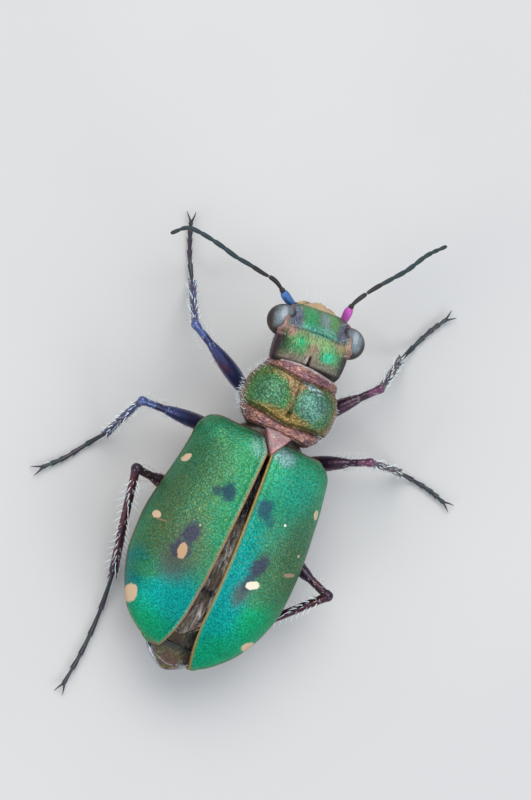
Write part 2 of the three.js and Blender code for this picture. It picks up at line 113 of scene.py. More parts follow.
# Shoulder bump and hollows of a wing case: height, place across and its width, place along and its length.
ELYTRON_HUMPS = [
    (0.10, 2.0, 0.4, -0.1, 0.4), (-0.07, 1.35, 0.35, 0.25, 0.35),
    (-0.03, 0.75, 0.3, -1.9, 0.35), (-0.03, 1.35, 0.3, -3.6, 0.45),
]

# Joints of each leg, its foot's joints on the floor and the radius of its thigh.
LEGS = {
    "front_left": dict(
        root=[-0.6, 1.75, 1.78], hip=[-1.05, 1.85, 1.5], knee=[-3.9, 3.1, 2.7], ankle=[-4.3, 4.7, 0.5],
        toes=[[-4.65, 5.4], [-4.95, 6.05], [-5.2, 6.7]], femur=0.3,
    ),
    "front_right": dict(
        root=[0.6, 1.7, 1.78], hip=[1.05, 1.78, 1.5], knee=[2.87, 3.85, 2.6], ankle=[3.5, 5.4, 0.5],
        toes=[[3.85, 6.2], [4.15, 6.9], [4.5, 7.5]], femur=0.3,
    ),
    "middle_left": dict(
        root=[-0.75, 0.3, 1.05], hip=[-1.45, 0.35, 1.1], knee=[-4.5, -0.05, 2.8], ankle=[-4.85, -1.25, 0.5],
        toes=[[-5.3, -1.9], [-5.8, -2.65], [-6.4, -3.3]], femur=0.29,
    ),
    "middle_right": dict(
        root=[0.75, 0.3, 1.05], hip=[1.45, 0.4, 1.1], knee=[3.6, 1.4, 2.55], ankle=[5.05, 1.8, 0.5],
        toes=[[5.75, 1.8], [6.4, 1.72], [7.05, 1.55]], femur=0.29,
    ),
    "hind_left": dict(
        root=[-0.75, -2.1, 1.05], hip=[-1.45, -2.15, 1.1], knee=[-3.71, -2.2, 2.62],
        ankle=[-2.69, -5.49, 0.5],
        toes=[[-2.5, -7], [-2.5, -8.4], [-2.63, -9.78]], femur=0.32,
    ),
    "hind_right": dict(
        root=[0.75, -2.1, 1.05], hip=[1.45, -2.25, 1.1], knee=[4.1, -3.4, 2.62], ankle=[1.76, -5.97, 0.5],
        toes=[[0.75, -6.45], [-0.35, -6.45], [-1.4, -6]], femur=0.32,
    ),
}
TARSUS_HEIGHT = 0.16
SPUR_HEIGHT = 0.05
LOWEST_SOLE = 0.1

ANTENNAE = {
    "antenna_left": [
        [-1.1, 5.05, 3.1], [-1.43, 5.17, 3.2], [-2.1, 5.49, 3.5], [-2.68, 5.52, 3.7], [-3.23, 5.56, 3.85],
        [-3.75, 5.58, 3.95], [-4.42, 5.7, 4.0], [-5.22, 5.79, 4.0], [-5.68, 5.74, 3.95], [-6.05, 5.39, 3.8],
    ],
    "antenna_right": [
        [0.62, 5.2, 3.1], [0.64, 5.44, 3.2], [0.66, 5.95, 3.42], [1.04, 6.64, 3.4], [1.56, 7.35, 3.2],
        [1.99, 7.93, 3.0], [2.44, 8.72, 2.75], [2.97, 9.35, 2.5],
    ],
}
# Share of the feeler's length for each of its eleven joints, from the head outwards, and their radii.
ANTENNA_JOINTS = [0.115, 0.035, 0.14, 0.115, 0.12, 0.1, 0.095, 0.085, 0.075, 0.065, 0.055]
ANTENNA_RADII = [0.135, 0.085, 0.07, 0.07, 0.075, 0.082, 0.082, 0.078, 0.076, 0.07, 0.066]
BARE_JOINTS = 4
OUTER_PALP = [[0.8, 1.5, 2.3], [1.0, 1.8, 2.0], [0.95, 2.1, 1.75], [0.75, 2.35, 1.55]]
INNER_PALP = [[0.35, 1.6, 2.2], [0.45, 1.85, 1.85], [0.45, 2.1, 1.6], [0.35, 2.35, 1.4]]
PALP_CUTS = [0, 0.16, 0.48, 0.72, 1.0]
TARSUS_CUTS = [0, 0.33, 0.54, 0.71, 0.84, 1.0]
# Length of each of the abdomen's rings, and front and hind edge of each plate on its back.
RING_LENGTH = 0.92
BACK_PLATES = [(-2.6, -3.7), (-3.6, -4.7), (-4.6, -5.6), (-5.5, -6.4), (-6.3, -7.05), (-6.95, -7.75)]
BACK_PLATE_HALF = [
    [-7.85, 0.45], [-7.6, 0.72], [-7, 1.0], [-6.4, 1.17], [-5.5, 1.5], [-4.5, 1.78], [-2.6, 1.88],
]


# Smooth value of a [station, value] table at the stations given.
def value_at(table, at):
    x, v = np.array(table, float).T
    slope = np.diff(v) / np.diff(x)
    before = np.concatenate([slope[:1], slope])
    after = np.concatenate([slope, slope[-1:]])
    product = before * after
    grade = np.where(product > 0, 2 * product / np.where(product > 0, before + after, 1), 0)
    grade[0] = slope[0]
    grade[-1] = slope[-1]
    at = np.clip(at, x[0], x[-1])
    i = np.clip(np.searchsorted(x, at, side="right") - 1, 0, len(x) - 2)
    step = x[i + 1] - x[i]
    t = (at - x[i]) / step
    return (
        (1 + 2 * t) * (1 - t) ** 2 * v[i]
        + t * (1 - t) ** 2 * step * grade[i]
        + t * t * (3 - 2 * t) * v[i + 1]
        + t * t * (t - 1) * step * grade[i + 1]
    )


def bell(x, width):
    return np.exp(-((x / width) ** 2))


def clamp(x):
    return np.clip(x, 0, 1)


# Rises from 0 to 1 over the width from the start, or falls where the width is negative.
def ramp(x, start, width):
    return clamp((x - start) / width)


def unit(v):
    return v / np.maximum(np.linalg.norm(v, axis=-1, keepdims=True), 1e-12)


def power(x, exponent):
    return np.sign(x) * np.abs(x) ** exponent


def turn(points, degrees, about):
    a = math.radians(degrees)
    spin = np.array([[math.cos(a), -math.sin(a), 0], [math.sin(a), math.cos(a), 0], [0, 0, 1]])
    return (np.asarray(points, float) - about) @ spin.T + about


def on_head(points):
    return turn(np.asarray(points, float) + NECK, HEAD_YAW, NECK)


# Shares of a grid: -1 to 1 over its columns, 0 to 1 over its rows.
def shares(rows, columns):
    return np.linspace(-1, 1, columns)[None], np.linspace(0, 1, rows)[:, None]


def sideways(direction):
    return unit(np.cross(direction, [0, 0, 1]))


# Gentle irregularity of a given grain size, from -1 to 1, at each point.
def rough(points, grain, seed=0):
    flat = np.asarray(points).reshape(-1, 3) / grain + seed * 17.3
    values = np.array([noise.noise(Vector(p)) for p in flat])
    return values.reshape(np.asarray(points).shape[:-1])


def smooth_grid_normals(grid, wrap=False):
    if wrap:
        across = np.roll(grid, -1, 1) - np.roll(grid, 1, 1)
    else:
        across = np.gradient(grid, axis=1)
    along = np.gradient(grid, axis=0)
    return unit(np.cross(across, along))


# Points and faces of one piece, which may hold several closed surfaces.
class Form:
    def __init__(self):
        self.points = []
        self.faces = []
        self.masks = {}

    def add(self, points, faces, **masks):
        start = sum(len(p) for p in self.points)
        self.points.append(np.asarray(points, float).reshape(-1, 3))
        self.faces += [[start + i for i in face] for face in faces]
        for name, values in masks.items():
            self.masks.setdefault(name, []).append((start, np.asarray(values, float).ravel()))
        return self

    # Masks are a value for each point of the rings, with 0 at the two end points, or one value for all.
    def add_rings(self, rings, **masks):
        points, faces = ring_body(rings)
        for name, mask in masks.items():
            masks[name] = np.full(len(points), mask) if np.isscalar(mask) else np.append(mask, [0, 0])
        return self.add(points, faces, **masks)

    def add_plate(self, upper, thickness, **masks):
        points, faces = plate(upper, thickness)
        for name, mask in masks.items():
            masks[name] = np.tile(np.broadcast_to(mask, upper.shape[:2]).ravel(), 2)
        return self.add(points, faces, **masks)

    def moved(self, move):
        self.points = [move(p) for p in self.points]
        return self

    def build(self, name, surface, slot, nodes):
        points = np.concatenate(self.points)
        mesh = mesh_of(name, points, self.faces, surface)
        for mask, parts in self.masks.items():
            values = np.zeros(len(points), np.float32)
            for start, part in parts:
                values[start : start + len(part)] = part
            mesh.attributes.new(mask, "FLOAT", "POINT").data.foreach_set("value", values)
        face_outwards(mesh)
        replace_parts(piece_of(mesh), *nodes)


def mesh_of(name, points, faces, surface):
    mesh = bpy.data.meshes.new(name)
    mesh.from_pydata((np.asarray(points) * MM + ORIGIN).tolist(), [], faces)
    mesh.polygons.foreach_set("use_smooth", [True] * len(mesh.polygons))
    mesh.materials.append(surface)
    return mesh


def in_scene(data):
    made = bpy.data.objects.new(data.name, data)
    bpy.context.scene.collection.objects.link(made)
    return made


def piece_of(mesh):
    piece = in_scene(mesh)
    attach(piece, "root")
    return piece


def face_outwards(mesh):
    work = bmesh.new()
    work.from_mesh(mesh)
    bmesh.ops.recalc_face_normals(work, faces=work.faces)
    work.to_mesh(mesh)
    work.free()


# Faces between the rows and columns of a grid of points.
def grid_faces(rows, columns, wrap=False, start=0):
    last = columns if wrap else columns - 1
    faces = []
    for r in range(rows - 1):
        for c in range(last):
            a = start + r * columns + c
            b = start + r * columns + (c + 1) % columns
            faces.append([a, b, b + columns, a + columns])
    return faces


# A closed body through rings of points, its ends closed to a middle point.
def ring_body(rings):
    rows, columns, _ = rings.shape
    points = np.concatenate([rings.reshape(-1, 3), rings[0].mean(0)[None], rings[-1].mean(0)[None]])
    faces = grid_faces(rows, columns, wrap=True)
    first = rows * columns
    for c in range(columns):
        n = (c + 1) % columns
        faces.append([n, c, first])
        faces.append([(rows - 1) * columns + c, (rows - 1) * columns + n, first + 1])
    return points, faces


# A closed plate from an upper grid of points and its thickness.
def plate(upper, thickness):
    rows, columns, _ = upper.shape
    normal = smooth_grid_normals(upper)
    if normal[..., 2].mean() < 0:
        normal = -normal
    lower = upper - normal * thickness
    points = np.concatenate([upper.reshape(-1, 3), lower.reshape(-1, 3)])
    below = rows * columns
    faces = grid_faces(rows, columns)
    faces += [face[::-1] for face in grid_faces(rows, columns, start=below)]
    top = list(range(columns))
    right = [r * columns + columns - 1 for r in range(rows)]
    bottom = [(rows - 1) * columns + c for c in range(columns)][::-1]
    left = [r * columns for r in range(rows)][::-1]
    for edge in (top, right, bottom, left):
        for a, b in zip(edge, edge[1:]):
            faces.append([b, a, a + below, b + below])
    return points, faces


# A smooth path through points, as evenly spaced samples.
def smooth_path(points, count):
    p = np.array(points, float)
    p = np.concatenate([[2 * p[0] - p[1]], p, [2 * p[-1] - p[-2]]])
    samples = []
    for i in range(1, len(p) - 2):
        t = np.linspace(0, 1, 24, endpoint=False)[:, None]
        a, b, c, d = p[i - 1], p[i], p[i + 1], p[i + 2]
        cubic = (3 * b - a - 3 * c + d) * t**3
        samples.append(0.5 * (2 * b + (c - a) * t + (2 * a - 5 * b + 4 * c - d) * t**2 + cubic))
    samples.append(p[-2][None])
    line = np.concatenate(samples)
    run = np.concatenate([[0], np.cumsum(np.linalg.norm(np.diff(line, axis=0), axis=1))])
    at = np.linspace(0, run[-1], count)
    return np.stack([np.interp(at, run, line[:, k]) for k in range(3)], 1)


# The part of a path between two shares of its length, resampled.
def part_of(path, first, last, knots, count):
    end = len(path) - 1
    part = path[int(first * end) : int(last * end) + 1]
    return smooth_path(part[:: max(len(part) // knots, 1)], count)


# Directions across a path that don't twist.
def across_path(path):
    ahead = unit(np.gradient(path, axis=0))
    side = np.cross([0, 0, 1], ahead[0])
    side = unit(side if np.linalg.norm(side) > 0.05 else np.cross([0, 1, 0], ahead[0]))
    sides = []
    for direction in ahead:
        side = unit(side - direction * np.dot(side, direction))
        sides.append(side)
    sides = np.array(sides)
    return ahead, sides, np.cross(ahead, sides)


# Rings round a path. wide gives the radius at each share of its length, and the ends are rounded.
def tube_rings(path, wide, sides=16, flat=1.0, cap=6):
    ahead, side, up = across_path(path)
    radius = [wide(share) for share in np.linspace(0, 1, len(path))]
    angles = np.linspace(0, 2 * np.pi, sides, endpoint=False)

    def cap_ring(end, way, k):
        lean = 0.5 * math.pi * (k + 0.6) / (cap + 0.4)
        out = radius[end] * 0.8 * math.cos(lean)
        return path[end] + way * ahead[end] * out, side[end], up[end], radius[end] * math.sin(lean)

    rings = [cap_ring(0, -1, k) for k in range(cap)]
    rings += zip(path, side, up, radius)
    rings += [cap_ring(-1, 1, k) for k in reversed(range(cap))]
    return np.array([
        [c + s * r * math.cos(a) + u * r * flat * math.sin(a) for a in angles] for c, s, u, r in rings
    ])


def tube(form, path, wide, sides=16, flat=1.0, cap=6, relief=None, **masks):
    rings = tube_rings(path, wide, sides, flat, cap)
    if relief:
        middle = rings.mean(1, keepdims=True)
        rings = rings + unit(rings - middle) * relief(rings)[..., None]
    form.add_rings(rings, **masks)


# Makes a zone reach through the whole height of the body.
FAR_ABOVE = 1e5


# Node material with coloured zones, set out in millimetres in the beetle's frame or the head's.
class Surface:
    def __init__(self, name, colour, roughness, metallic=0.0, about=None, yaw=0, **sockets):
        self.material = bpy.data.materials.new(name)
        self.material.use_nodes = True
        self.tree = self.material.node_tree
        self.shader = self.tree.nodes["Principled BSDF"]
        self.feed(self.shader, Roughness=roughness, Metallic=metallic, **sockets)
        where = self.node("TexCoord").outputs["Object"]
        scaled = self.node("Mapping", Vector=where, Scale=(1 / MM,) * 3, Location=tuple(-ORIGIN / MM))
        self.place = scaled.outputs["Vector"]
        if about is not None:
            self.place = self.moved_place(tuple(about), yaw, (1, 1, 1))
        plain = self.node("RGB")
        plain.outputs[0].default_value = (*colour, 1)
        self.colour = plain.outputs[0]
        self.height = None
        self.feed(self.shader, Base_Color=self.colour)

    # Gives a socket a constant or links it to another node's output.
    def fill(self, socket, value):
        if isinstance(value, bpy.types.NodeSocket):
            self.tree.links.new(value, socket)
        else:
            socket.default_value = value

    def feed(self, node, **sockets):
        for name, value in sockets.items():
            self.fill(node.inputs[name.replace("_", " ")], value)
        return node

    def node(self, kind, settings=None, **sockets):
        made = self.tree.nodes.new(f"ShaderNode{kind}")
        for setting, value in (settings or {}).items():
            setattr(made, setting, value)
        return self.feed(made, **sockets)

    def math(self, operation, *values):
        made = self.node("Math", dict(operation=operation))
        for socket, value in zip(made.inputs, values):
            self.fill(socket, value)
        return made.outputs[0]

    def times(self, a, b):
        return self.math("MULTIPLY", a, b)

    def noise(self, scale, detail=3.0, stretch=None):
        place = self.place
        if stretch is not None:
            place = self.node("Mapping", Vector=place, Scale=stretch).outputs["Vector"]
        made = self.node("TexNoise", Vector=place, Scale=scale, Detail=detail, Roughness=0.55)
        return made.outputs["Fac"]

    def cells(self, scale, smoothness=None):
        feature = "F1" if smoothness is None else "SMOOTH_F1"
        made = self.node("TexVoronoi", dict(feature=feature), Vector=self.place, Scale=scale)
        if smoothness is not None:
            self.feed(made, Smoothness=smoothness)
        return made.outputs["Distance"]

    def span(self, value, low, high, to_low=0.0, to_high=1.0):
        limits = dict(From_Min=low, From_Max=high, To_Min=to_low, To_Max=to_high)
        made = self.node("MapRange", dict(interpolation_type="SMOOTHSTEP"), Value=value, **limits)
        return made.outputs["Result"]

    def mask(self, name):
        return self.node("Attribute", dict(attribute_name=name)).outputs["Fac"]

    # The place as measured from a centre, turned about Z and in units of the size.
    def moved_place(self, centre, angle, size):
        spin = (0, 0, math.radians(angle))
        made = self.node("Mapping", dict(vector_type="TEXTURE"), Vector=self.place, Location=centre)
        return self.feed(made, Rotation=spin, Scale=size).outputs["Vector"]

    # A soft-edged ellipse seen from above, with a wavering edge.
    def zone(self, centre, radii, angle=0, soft=0.3, waver=0.3, grain=3.0):
        flat = self.moved_place((*centre, 0), angle, (*radii, FAR_ABOVE))
        far = self.node("VectorMath", dict(operation="LENGTH"), Vector=flat).outputs["Value"]
        shift = self.times(self.math("SUBTRACT", self.noise(grain, 3), 0.5), 2 * waver)
        return self.span(self.math("ADD", far, shift), 1 - soft, 1 + soft, 1, 0)

    def mix(self, share, colour, strength=1.0):
        if strength != 1.0:
            share = self.times(share, strength)
        made = self.node("Mix", dict(data_type="RGBA"), Factor=share, A=self.colour, B=(*colour, 1))
        self.colour = made.outputs["Result"]
        self.feed(self.shader, Base_Color=self.colour)

    def tint(self, mask, colour, strength):
        self.mix(self.mask(mask), colour, strength)

    def spot(self, centre, radii, angle, colour, strength, soft=0.5, waver=0.35, grain=3.0):
        self.mix(self.zone(centre, radii, angle, soft, waver, grain), colour, strength)

    def paint(self, spots, *edge):
        for spot in spots:
            self.spot(*spot, *edge)

    # Colours the blotches of a noise, from the low value to the high one.
    def mottle(self, scale, detail, low, high, colour, strength, stretch=None):
        self.mix(self.span(self.noise(scale, detail, stretch), low, high), colour, strength)

    def raise_by(self, value, amount):
        part = self.times(value, amount)
        self.height = part if self.height is None else self.math("ADD", self.height, part)

    def finish(self, strength):
        bump = self.node("Bump", Strength=strength, Distance=MM, Height=self.height)
        self.feed(self.shader, Normal=bump.outputs["Normal"])
        return self.material


EMERALD = (0.045, 0.34, 0.145)
TURQUOISE = (0.0, 0.41, 0.32)
DEEP_GREEN = (0.0, 0.43, 0.15)
BRIGHT_GREEN = (0.06, 0.55, 0.30)
OLIVE = (0.10, 0.165, 0.06)
GRASS = (0.06, 0.27, 0.07)
VIOLET = (0.02, 0.035, 0.085)
PLUM = (0.06, 0.05, 0.10)
RUST = (0.28, 0.12, 0.09)
GOLD = (0.42, 0.27, 0.06)
CREAM = (0.62, 0.44, 0.27)
ORANGE_CREAM = (0.50, 0.31, 0.17)
SILVER = (0.42, 0.60, 0.64)

# Base, second, third and knee colour of each leg material.
LEG_COLOURS = {
    "hip_cuticle": ((0.16, 0.06, 0.05), (0.05, 0.1, 0.05), (0.10, 0.04, 0.12), (0.2, 0.06, 0.06)),
    "leg_blue": ((0.05, 0.045, 0.11), (0.05, 0.06, 0.19), (0.12, 0.04, 0.09), (0.12, 0.17, 0.38)),
    "leg_rose": ((0.06, 0.025, 0.045), (0.035, 0.02, 0.05), (0.13, 0.035, 0.05), (0.24, 0.09, 0.17)),
    "leg_dark": ((0.075, 0.018, 0.028), (0.03, 0.02, 0.045), (0.12, 0.025, 0.035), (0.03, 0.02, 0.04)),
    "foot_cuticle": ((0.035, 0.05, 0.05), (0.06, 0.04, 0.06), (0.03, 0.075, 0.07), (0.05, 0.05, 0.07)),
}


# Grained emerald of the wing cases, with copper edges, dark patches and cream spots.
def elytron_surface(side):
    s = Surface(f"elytron_cuticle_{side}", EMERALD, 0.52, 0.9, Specular_IOR_Level=0.4)
    grain = s.cells(15, 0.2)
    fine = s.noise(34, 2)
    s.mottle(1.3, 3, 0.42, 0.62, GRASS, 0.45)
    if side == "left":
        s.paint([
            ((-1.85, -2.7), (0.95, 2.6), -8, OLIVE, 0.75),
            ((-1.35, -4.2), (0.85, 1.1), 10, (0.17, 0.15, 0.07), 0.6),
            ((-1.2, -6.4), (1.9, 1.45), 0, (0.0, 0.37, 0.29), 0.9),
            ((-1.1, -5.6), (0.8, 0.8), 0, (0.0, 0.38, 0.38), 0.6),
            ((-1.3, -7.1), (1.4, 0.7), -20, DEEP_GREEN, 0.85),
            ((-2.6, -5.5), (0.5, 0.8), 0, (0.0, 0.22, 0.23), 0.9),
            ((-2.3, -3.2), (0.35, 1.3), 0, (0.15, 0.20, 0.06), 0.6),
            ((-0.4, 0.15), (0.3, 0.45), 20, SILVER, 0.35),
            ((-2.2, -5.2), (0.45, 0.3), 0, GRASS, 0.7),
        ])
        patches = [
            ((-0.76, -1.8), (0.24, 0.32), 20, VIOLET, 0.95), ((-1.14, -1.9), (0.17, 0.17), 0, VIOLET, 0.75),
            ((-1.36, -3.58), (0.28, 0.42), -10, PLUM, 0.95), ((-1.45, -4.2), (0.34, 0.3), 0, PLUM, 0.9),
        ]
        smears = [((-1.42, -4.75), (0.46, 0.48), 0, (0.10, 0.08, 0.075), 0.7)]
        spots = [
            ((-2.39, -1.2), (0.09, 0.18), -25, CREAM), ((-2.57, -3.4), (0.12, 0.14), 20, CREAM),
            ((-2.38, -3.52), (0.2, 0.03), 0, (0.22, 0.15, 0.07)),
            ((-1.38, -4.22), (0.16, 0.27), 8, ORANGE_CREAM),
            ((-2.2, -6.1), (0.17, 0.31), 20, CREAM), ((-1.2, -3.2), (0.035, 0.035), 0, CREAM),
        ]
    else:
        s.paint([
            ((0.72, -5.0), (0.6, 2.5), 6, (0.0, 0.40, 0.40), 0.9),
            ((0.55, -2.4), (0.4, 1.5), 0, TURQUOISE, 0.4),
            ((1.2, -6.6), (1.6, 1.2), 0, TURQUOISE, 0.8),
            ((1.6, -6.9), (1.3, 0.75), 15, DEEP_GREEN, 0.85),
            ((2.05, -5.5), (0.7, 0.85), 0, DEEP_GREEN, 0.85),
            ((1.2, -0.5), (0.9, 0.8), 0, BRIGHT_GREEN, 0.85),
            ((2.1, -1.2), (0.5, 1.1), 5, BRIGHT_GREEN, 0.85),
            ((1.5, -2.6), (0.6, 0.9), 0, (0.08, 0.38, 0.24), 0.6),
            ((2.35, -2.7), (0.7, 1.9), 5, OLIVE, 0.75),
            ((1.75, -3.6), (0.65, 0.9), 0, OLIVE, 0.7),
            ((1.6, -4.6), (0.5, 0.35), 0, OLIVE, 0.4),
            ((0.53, 0.13), (0.42, 0.3), 0, SILVER, 0.75),
            ((1.4, -0.9), (0.7, 0.8), 0, TURQUOISE, 0.35),
        ])
        patches = [
            ((0.57, -1.8), (0.27, 0.33), -15, (0.04, 0.085, 0.145), 0.9),
            ((0.88, -2.1), (0.2, 0.2), 0, (0.04, 0.085, 0.145), 0.55),
            ((1.2, -3.62), (0.26, 0.42), -18, PLUM, 0.95), ((1.1, -4.25), (0.18, 0.36), -10, PLUM, 0.8),
        ]
        smears = [((1.0, -4.7), (0.24, 0.4), 0, (0.12, 0.08, 0.075), 0.75)]
        spots = [
            ((2.43, -1.15), (0.1, 0.17), 15, CREAM), ((2.36, -3.42), (0.24, 0.07), 25, (0.30, 0.20, 0.12)),
            ((1.27, -4.29), (0.25, 0.14), 25, (0.82, 0.74, 0.56)), ((2.22, -6.12), (0.28, 0.15), 35, CREAM),
            ((1.46, -2.0), (0.045, 0.045), 0, (0.95, 0.88, 0.72)), ((2.4, -2.7), (0.04, 0.05), 0, CREAM),
        ]
    s.mix(s.span(grain, 0.2, 0.7), (0.0, 0.08, 0.055), 0.42)
    s.mottle(20, 2, 0.52, 0.68, (0.06, 0.66, 0.58), 0.3)
    front = s.zone((0.0, -1.0), (6.0, 3.6), 0, 0.25, 0.2, 1)
    # Painted glints: yellow-green specks on the grain over the front half.
    glint_specks = s.span(s.noise(13, 2, stretch=(1, 1, 1.2)), 0.55, 0.7)
    s.mix(s.times(glint_specks, front), (0.34, 0.42, 0.12), 0.35)
    gilt = s.span(s.cells(5.1), 0.0, 0.12, 1, 0)
    s.mix(s.times(gilt, front), GOLD, 0.25)
    s.paint(smears, 0.8, 0.5)
    s.paint([(*patch, 0.9 * strength) for *patch, strength in patches], 0.4, 0.7, 6)
    s.mix(s.span(grain, 0.35, 0.75), (0.0, 0.04, 0.035), 0.1)
    pale = None
    for centre, radii, angle, colour in spots:
        share = s.zone(centre, radii, angle, 0.12, 0.3, 9)
        s.mix(share, colour)
        pale = share if pale is None else s.math("MAXIMUM", pale, share)
    s.tint("edge", RUST, 0.9)
    s.tint("seam", GOLD if side == "right" else (0.42, 0.23, 0.12), 0.85)
    s.feed(s.shader, Metallic=s.times(s.math("SUBTRACT", 1.0, pale), 0.9))
    s.raise_by(s.times(grain, s.math("SUBTRACT", 1.0, s.times(pale, 0.7))), -0.02)
    s.raise_by(fine, 0.004)
    s.feed(s.shader, Roughness=s.span(s.noise(6, 2), 0.3, 0.7, 0.46, 0.58))
    return s.finish(0.6)


# Punctured green of the pronotum between copper rims.
def pronotum_surface():
    s = Surface("pronotum_cuticle", (0.17, 0.19, 0.06), 0.42, 0.7, Specular_IOR_Level=0.4)
    s.mottle(2.2, 4, 0.38, 0.62, (0.38, 0.20, 0.07), 0.85)
    s.spot((-0.1, 2.45), (0.7, 0.4), -20, (0.50, 0.27, 0.14), 0.85, 0.6, 0.4, 3)
    s.tint("flank", (0.12, 0.045, 0.055), 0.95)
    s.spot((-1.25, 2.0), (0.4, 0.9), 0, (0.10, 0.24, 0.04), 0.8, 0.5, 0.4, 3)
    s.spot((-0.82, 1.84), (0.67, 0.68), 0, (0.06, 0.24, 0.06), 0.95, 0.14, 0.2, 3)
    s.spot((-0.84, 1.9), (0.44, 0.46), 0, (0.09, 0.30, 0.17), 0.9, 0.5, 0.3, 3)
    s.spot((0.76, 1.98), (0.72, 0.68), 0, (0.07, 0.26, 0.11), 0.95, 0.14, 0.2, 3)
    s.spot((0.66, 2.06), (0.52, 0.5), 0, (0.14, 0.36, 0.30), 0.95, 0.35, 0.3, 3)
    s.spot((-0.1, 1.36), (0.95, 0.17), 0, (0.50, 0.27, 0.06), 0.85, 0.5, 0.4, 3)
    s.spot((0.46, 2.6), (0.42, 0.11), -12, SILVER, 0.85, 0.4, 0.3, 3)
    s.tint("rim", (0.52, 0.24, 0.20), 0.95)
    patches = s.times(s.mask("rim"), s.span(s.noise(2.6, 4), 0.46, 0.6))
    s.mix(patches, (0.20, 0.07, 0.13), 0.8)
    wrinkles = s.noise(17, 3, stretch=(0.3, 2.2, 1))
    s.mix(s.times(s.mask("rim"), s.span(wrinkles, 0.47, 0.56)), (0.07, 0.02, 0.03), 0.8)
    s.mix(s.times(s.mask("rim"), s.span(wrinkles, 0.34, 0.42, 1, 0)), (0.80, 0.56, 0.50), 0.6)
    disc = s.math("SUBTRACT", 1.0, s.times(s.mask("rim"), 0.85))
    # Painted shade in the median line, the pit at its hind end and the arc groove round the right dome.
    s.tint("line", (0.06, 0.045, 0.02), 0.85)
    # Painted shade in the grooves behind and in front of the disc.
    s.tint("deep", (0.03, 0.025, 0.02), 0.9)
    grain = s.cells(13, 0.2)
    s.mix(s.times(disc, s.span(s.noise(17, 2), 0.5, 0.62)), (0.50, 0.48, 0.18), 0.3)
    s.mix(s.times(disc, s.span(s.noise(23, 2), 0.55, 0.66)), (0.14, 0.62, 0.40), 0.4)
    s.mix(s.times(disc, s.span(grain, 0.25, 0.7)), (0.015, 0.035, 0.02), 0.62)
    s.tint("hem", (0.66, 0.64, 0.62), 0.9)
    s.raise_by(grain, -0.024)
    s.raise_by(s.noise(26, 3, stretch=(0.35, 1.6, 1)), 0.016)
    return s.finish(0.7)


# Green head with violet hollows beside the eyes and copper rims round them.
def head_surface():
    s = Surface("head_cuticle", (0.10, 0.28, 0.12), 0.42, 0.7, NECK, HEAD_YAW, Specular_IOR_Level=0.4)
    s.mottle(2.4, 4, 0.42, 0.6, (0.26, 0.22, 0.09), 0.75)
    s.paint([
        ((0.0, 0.95), (1.3, 0.34), 0, (0.30, 0.22, 0.10), 0.6),
        ((-0.55, 0.85), (0.34, 0.34), 0, (0.05, 0.34, 0.12), 0.85),
        ((-0.5, 0.9), (0.15, 0.14), 0, (0.03, 0.52, 0.20), 0.8),
        ((0.58, 0.75), (0.38, 0.34), 0, (0.08, 0.44, 0.18), 0.85),
        ((0.55, 0.68), (0.2, 0.16), 0, (0.02, 0.62, 0.32), 0.85),
        ((0.2, 1.08), (0.5, 0.2), 0, (0.26, 0.48, 0.18), 0.7),
        ((0.0, 0.6), (0.22, 0.45), 0, (0.42, 0.24, 0.19), 0.7),
        ((0.0, 1.5), (0.85, 0.2), 0, (0.08, 0.42, 0.32), 0.8),
        ((-0.4, 1.9), (0.3, 0.34), 20, (0.03, 0.50, 0.17), 0.85),
        ((0.5, 1.95), (0.34, 0.26), -15, (0.17, 0.50, 0.14), 0.85),
        ((0.15, 1.95), (0.17, 0.28), 10, (0.36, 0.44, 0.50), 0.8),
        ((0.3, 1.62), (0.24, 0.12), 0, (0.20, 0.42, 0.33), 0.6),
        ((-0.88, 1.75), (0.25, 0.5), 8, (0.17, 0.15, 0.26), 0.95),
        ((-0.82, 1.95), (0.12, 0.2), 8, (0.30, 0.30, 0.45), 0.7),
        ((0.88, 1.75), (0.23, 0.5), -8, (0.17, 0.15, 0.27), 0.95),
        ((-1.0, 1.18), (0.26, 0.2), 0, (0.46, 0.22, 0.18), 0.8),
        ((1.0, 1.18), (0.26, 0.2), 0, (0.50, 0.34, 0.18), 0.8),
    ])
    s.mottle(9, 3, 0.5, 0.7, (0.48, 0.36, 0.20), 0.3)
    s.mottle(16, 2, 0.52, 0.66, (0.14, 0.62, 0.34), 0.35)
    s.tint("neck", (0.27, 0.18, 0.16), 0.75)
    s.spot((-1.15, 0.75), (0.3, 0.45), 0, (0.02, 0.06, 0.02), 0.85, 0.5, 0.3)
    s.spot((1.2, 0.6), (0.25, 0.4), 0, (0.03, 0.09, 0.05), 0.8, 0.5, 0.3)
    wrinkles = s.noise(22, 3, stretch=(2.2, 0.35, 1))
    s.mix(s.span(wrinkles, 0.48, 0.6), (0.02, 0.03, 0.03), 0.65)
    s.mix(s.span(wrinkles, 0.3, 0.42, 1, 0), (0.50, 0.56, 0.30), 0.4)
    s.tint("flank", (0.05, 0.02, 0.035), 0.95)
    s.tint("rim", (0.44, 0.23, 0.22), 0.9)
    s.tint("glint", (0.66, 0.58, 0.54), 0.8)
    pits = s.times(s.span(s.cells(9.5), 0.1, 0.24, 1, 0), s.mask("pitted"))
    s.mix(pits, (0.02, 0.015, 0.03), 0.9)
    # Painted shade in the median groove, the line outside the eye rims, the furrow and the band in front of
    # the pronotum's edge.
    s.tint("deep", (0.02, 0.015, 0.02), 0.9)
    s.raise_by(pits, -0.02)
    s.raise_by(wrinkles, -0.03)
    s.raise_by(s.cells(16, 0.2), -0.014)
    return s.finish(0.7)


